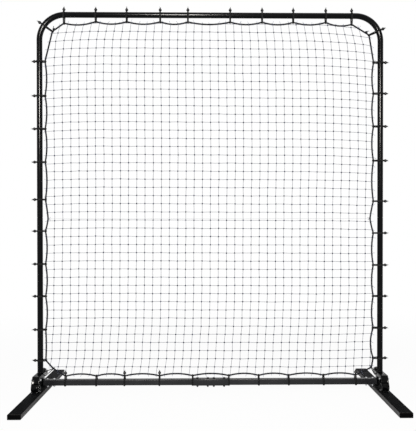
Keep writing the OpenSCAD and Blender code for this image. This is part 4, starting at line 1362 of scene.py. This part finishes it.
CAMERA_PLACE = Vector((-0.0115, -3.3732, 0.9677))
CAMERA_YAW, CAMERA_PITCH, CAMERA_ROLL = -0.01396, -0.00846, 0.00048
LENS_MM = 52.19
FRAME_W, FRAME_H = 416, 431            # width and height of the render
AXIS_U, AXIS_V = 217.07, 225.61        # where the lens axis meets it, from its top left corner
FLOOR_R = 14
FADE_START, FADE_END = 1.6, 3.5        # where the floor's shadow fades to white
# Soft boxes: name, place, height of the point they face, width, height, share of the key's power
SOFT_BOXES = (("key_box", (-0.34, -3.6, 2.33), 1.2, 0.62, 0.32, 1.0),
              ("gloss_box", (-0.34, -3.62, 2.3), 1.2, 0.62, 0.82, 1.9),
              ("top_box", (0.6, -0.4, 4.2), 1.0, 4, 4, 0.2))
WARM_WHITE = (1.0, 0.97, 0.92)


def background_rays(tree):
    """1 for rays that should see the white background: camera, mirror and refracted ones."""
    path = tree.nodes.new("ShaderNodeLightPath")
    seen = calc(tree, "MAXIMUM", path.outputs["Is Camera Ray"], path.outputs["Is Glossy Ray"])
    return calc(tree, "MAXIMUM", seen, path.outputs["Is Transmission Ray"])


class REBOUNDER_OT_stage(bpy.types.Operator):
    """Set up the camera, the floor, the even white room and the soft boxes"""
    bl_idname = "rebounder.stage"
    bl_label = "Studio"

    def execute(self, context):
        self.camera(context.scene)
        self.room(context.scene)
        self.floor(context.scene)
        self.lamps(context.scene)
        return {"FINISHED"}

    def camera(self, scene):
        """The camera, with its lens axis off the render's middle."""
        lens = bpy.data.cameras.new("camera")
        lens.sensor_fit = "HORIZONTAL"
        lens.lens = LENS_MM
        lens.shift_x = (FRAME_W / 2 - AXIS_U) / FRAME_W
        lens.shift_y = (AXIS_V - FRAME_H / 2) / FRAME_W
        camera = in_scene("camera", lens)
        turn = (Matrix.Rotation(CAMERA_YAW, 4, "Z") @ Matrix.Rotation(CAMERA_PITCH, 4, "X")
                @ Matrix.Rotation(CAMERA_ROLL, 4, "Y") @ Matrix.Rotation(math.pi / 2, 4, "X"))
        camera.matrix_world = Matrix.Translation(CAMERA_PLACE) @ turn
        scene.camera = camera
        scene.view_settings.view_transform = "Standard"

    def room(self, scene):
        """A white background, and an even light of its own strength."""
        world = bpy.data.worlds.new("room")
        world.use_nodes = True
        tree = world.node_tree
        tree.nodes.clear()
        strength = ramp(tree, background_rays(tree), 0.0, 1.0, scene.rebounder_studio.daylight)
        shade = put(tree, "ShaderNodeBackground", {"Color": (1, 1, 1, 1), "Strength": strength})
        put(tree, "ShaderNodeOutputWorld", {"Surface": shade.outputs[0]})
        scene.world = world

    def floor(self, scene):
        """A pale floor that keeps the shadow near the feet and turns white further out."""
        tree, shader, point = begin_finish("studio_floor")
        tone = drifting(tree, point, scene.rebounder_studio.floor_colour, 2.0, 0.01)
        feed(tree, shader, {"Base Color": tone, "Roughness": 0.8,
                            "Normal": bump(tree, grain_of(tree, point, 220.0, 0.2), 0.05, 1 * MM)})
        distance = put(tree, "ShaderNodeVectorMath", {0: point}, operation="LENGTH")
        fade = ramp(tree, distance.outputs["Value"], FADE_START, FADE_END, 0.95, 1.0)
        white = put(tree, "ShaderNodeEmission", {"Color": (1, 1, 1, 1), "Strength": 1.0})
        mix = put(tree, "ShaderNodeMixShader",
                  {0: calc(tree, "MULTIPLY", background_rays(tree), fade),
                   1: shader.outputs[0], 2: white.outputs[0]})
        output = next(n for n in tree.nodes if n.type == "OUTPUT_MATERIAL")
        feed(tree, output, {"Surface": mix.outputs[0]})
        bm = bmesh.new()
        bmesh.ops.create_circle(bm, cap_ends=True, segments=64, radius=FLOOR_R)
        mesh = finished(bm)
        mesh.materials.append(finish_of("studio_floor"))
        floor = in_scene("studio_floor", mesh)
        floor.location.z = -0.5 * MM

    def lamps(self, scene):
        """A soft box beside the camera, a weak one overhead, and a tall one that only gloss
        shows, for the long highlights down the tubes."""
        for name, place, aim_z, width, height, share in SOFT_BOXES:
            lamp = bpy.data.lights.new(name, "AREA")
            lamp.shape = "RECTANGLE"
            lamp.size, lamp.size_y = width, height
            lamp.energy = scene.rebounder_studio.key_power * share
            lamp.color = WARM_WHITE
            holder = in_scene(name, lamp)
            holder.visible_diffuse = name != "gloss_box"
            holder.location = place
            way = Vector((0, 0, aim_z)) - Vector(place)
            holder.rotation_euler = way.to_track_quat("-Z", "Y").to_euler()


# ---------------------------------------------------------------- panel and main

class REBOUNDER_PT_panel(bpy.types.Panel):
    """Settings and steps of the rebounder in the 3D view's sidebar"""
    bl_idname = "REBOUNDER_PT_panel"
    bl_label = "Pitch Back Rebounder"
    bl_space_type = "VIEW_3D"
    bl_region_type = "UI"
    bl_category = "Rebounder"

    def draw(self, context):
        for group in SETTINGS:
            box = self.layout.box()
            settings = getattr(context.scene, group)
            for name in settings.__annotations__:
                box.prop(settings, name)
        for operator in STEPS:
            self.layout.operator(operator.bl_idname)


SETTINGS = {"rebounder_net": NetSettings, "rebounder_ties": TieSettings,
            "rebounder_metal": MetalSettings, "rebounder_studio": StudioSettings}
STEPS = (REBOUNDER_OT_finishes, REBOUNDER_OT_stage, REBOUNDER_OT_metal, REBOUNDER_OT_fasteners,
         REBOUNDER_OT_adjusters, REBOUNDER_OT_welds, REBOUNDER_OT_border_rope, REBOUNDER_OT_net,
         REBOUNDER_OT_bungees)


def register():
    """Registers the settings, steps and panel."""
    for item in (*SETTINGS.values(), *STEPS, REBOUNDER_PT_panel):
        bpy.utils.register_class(item)
    for name, group in SETTINGS.items():
        setattr(bpy.types.Scene, name, PointerProperty(type=group))


def unregister():
    """Removes what register() added."""
    for name in SETTINGS:
        delattr(bpy.types.Scene, name)
    for item in (REBOUNDER_PT_panel, *reversed(STEPS), *SETTINGS.values()):
        bpy.utils.unregister_class(item)


def main():
    """Registers the add-on and builds the rebounder."""
    register()
    for step in STEPS:
        group, name = step.bl_idname.split(".")
        getattr(getattr(bpy.ops, group), name)()


if __name__ == "__main__":
    main()
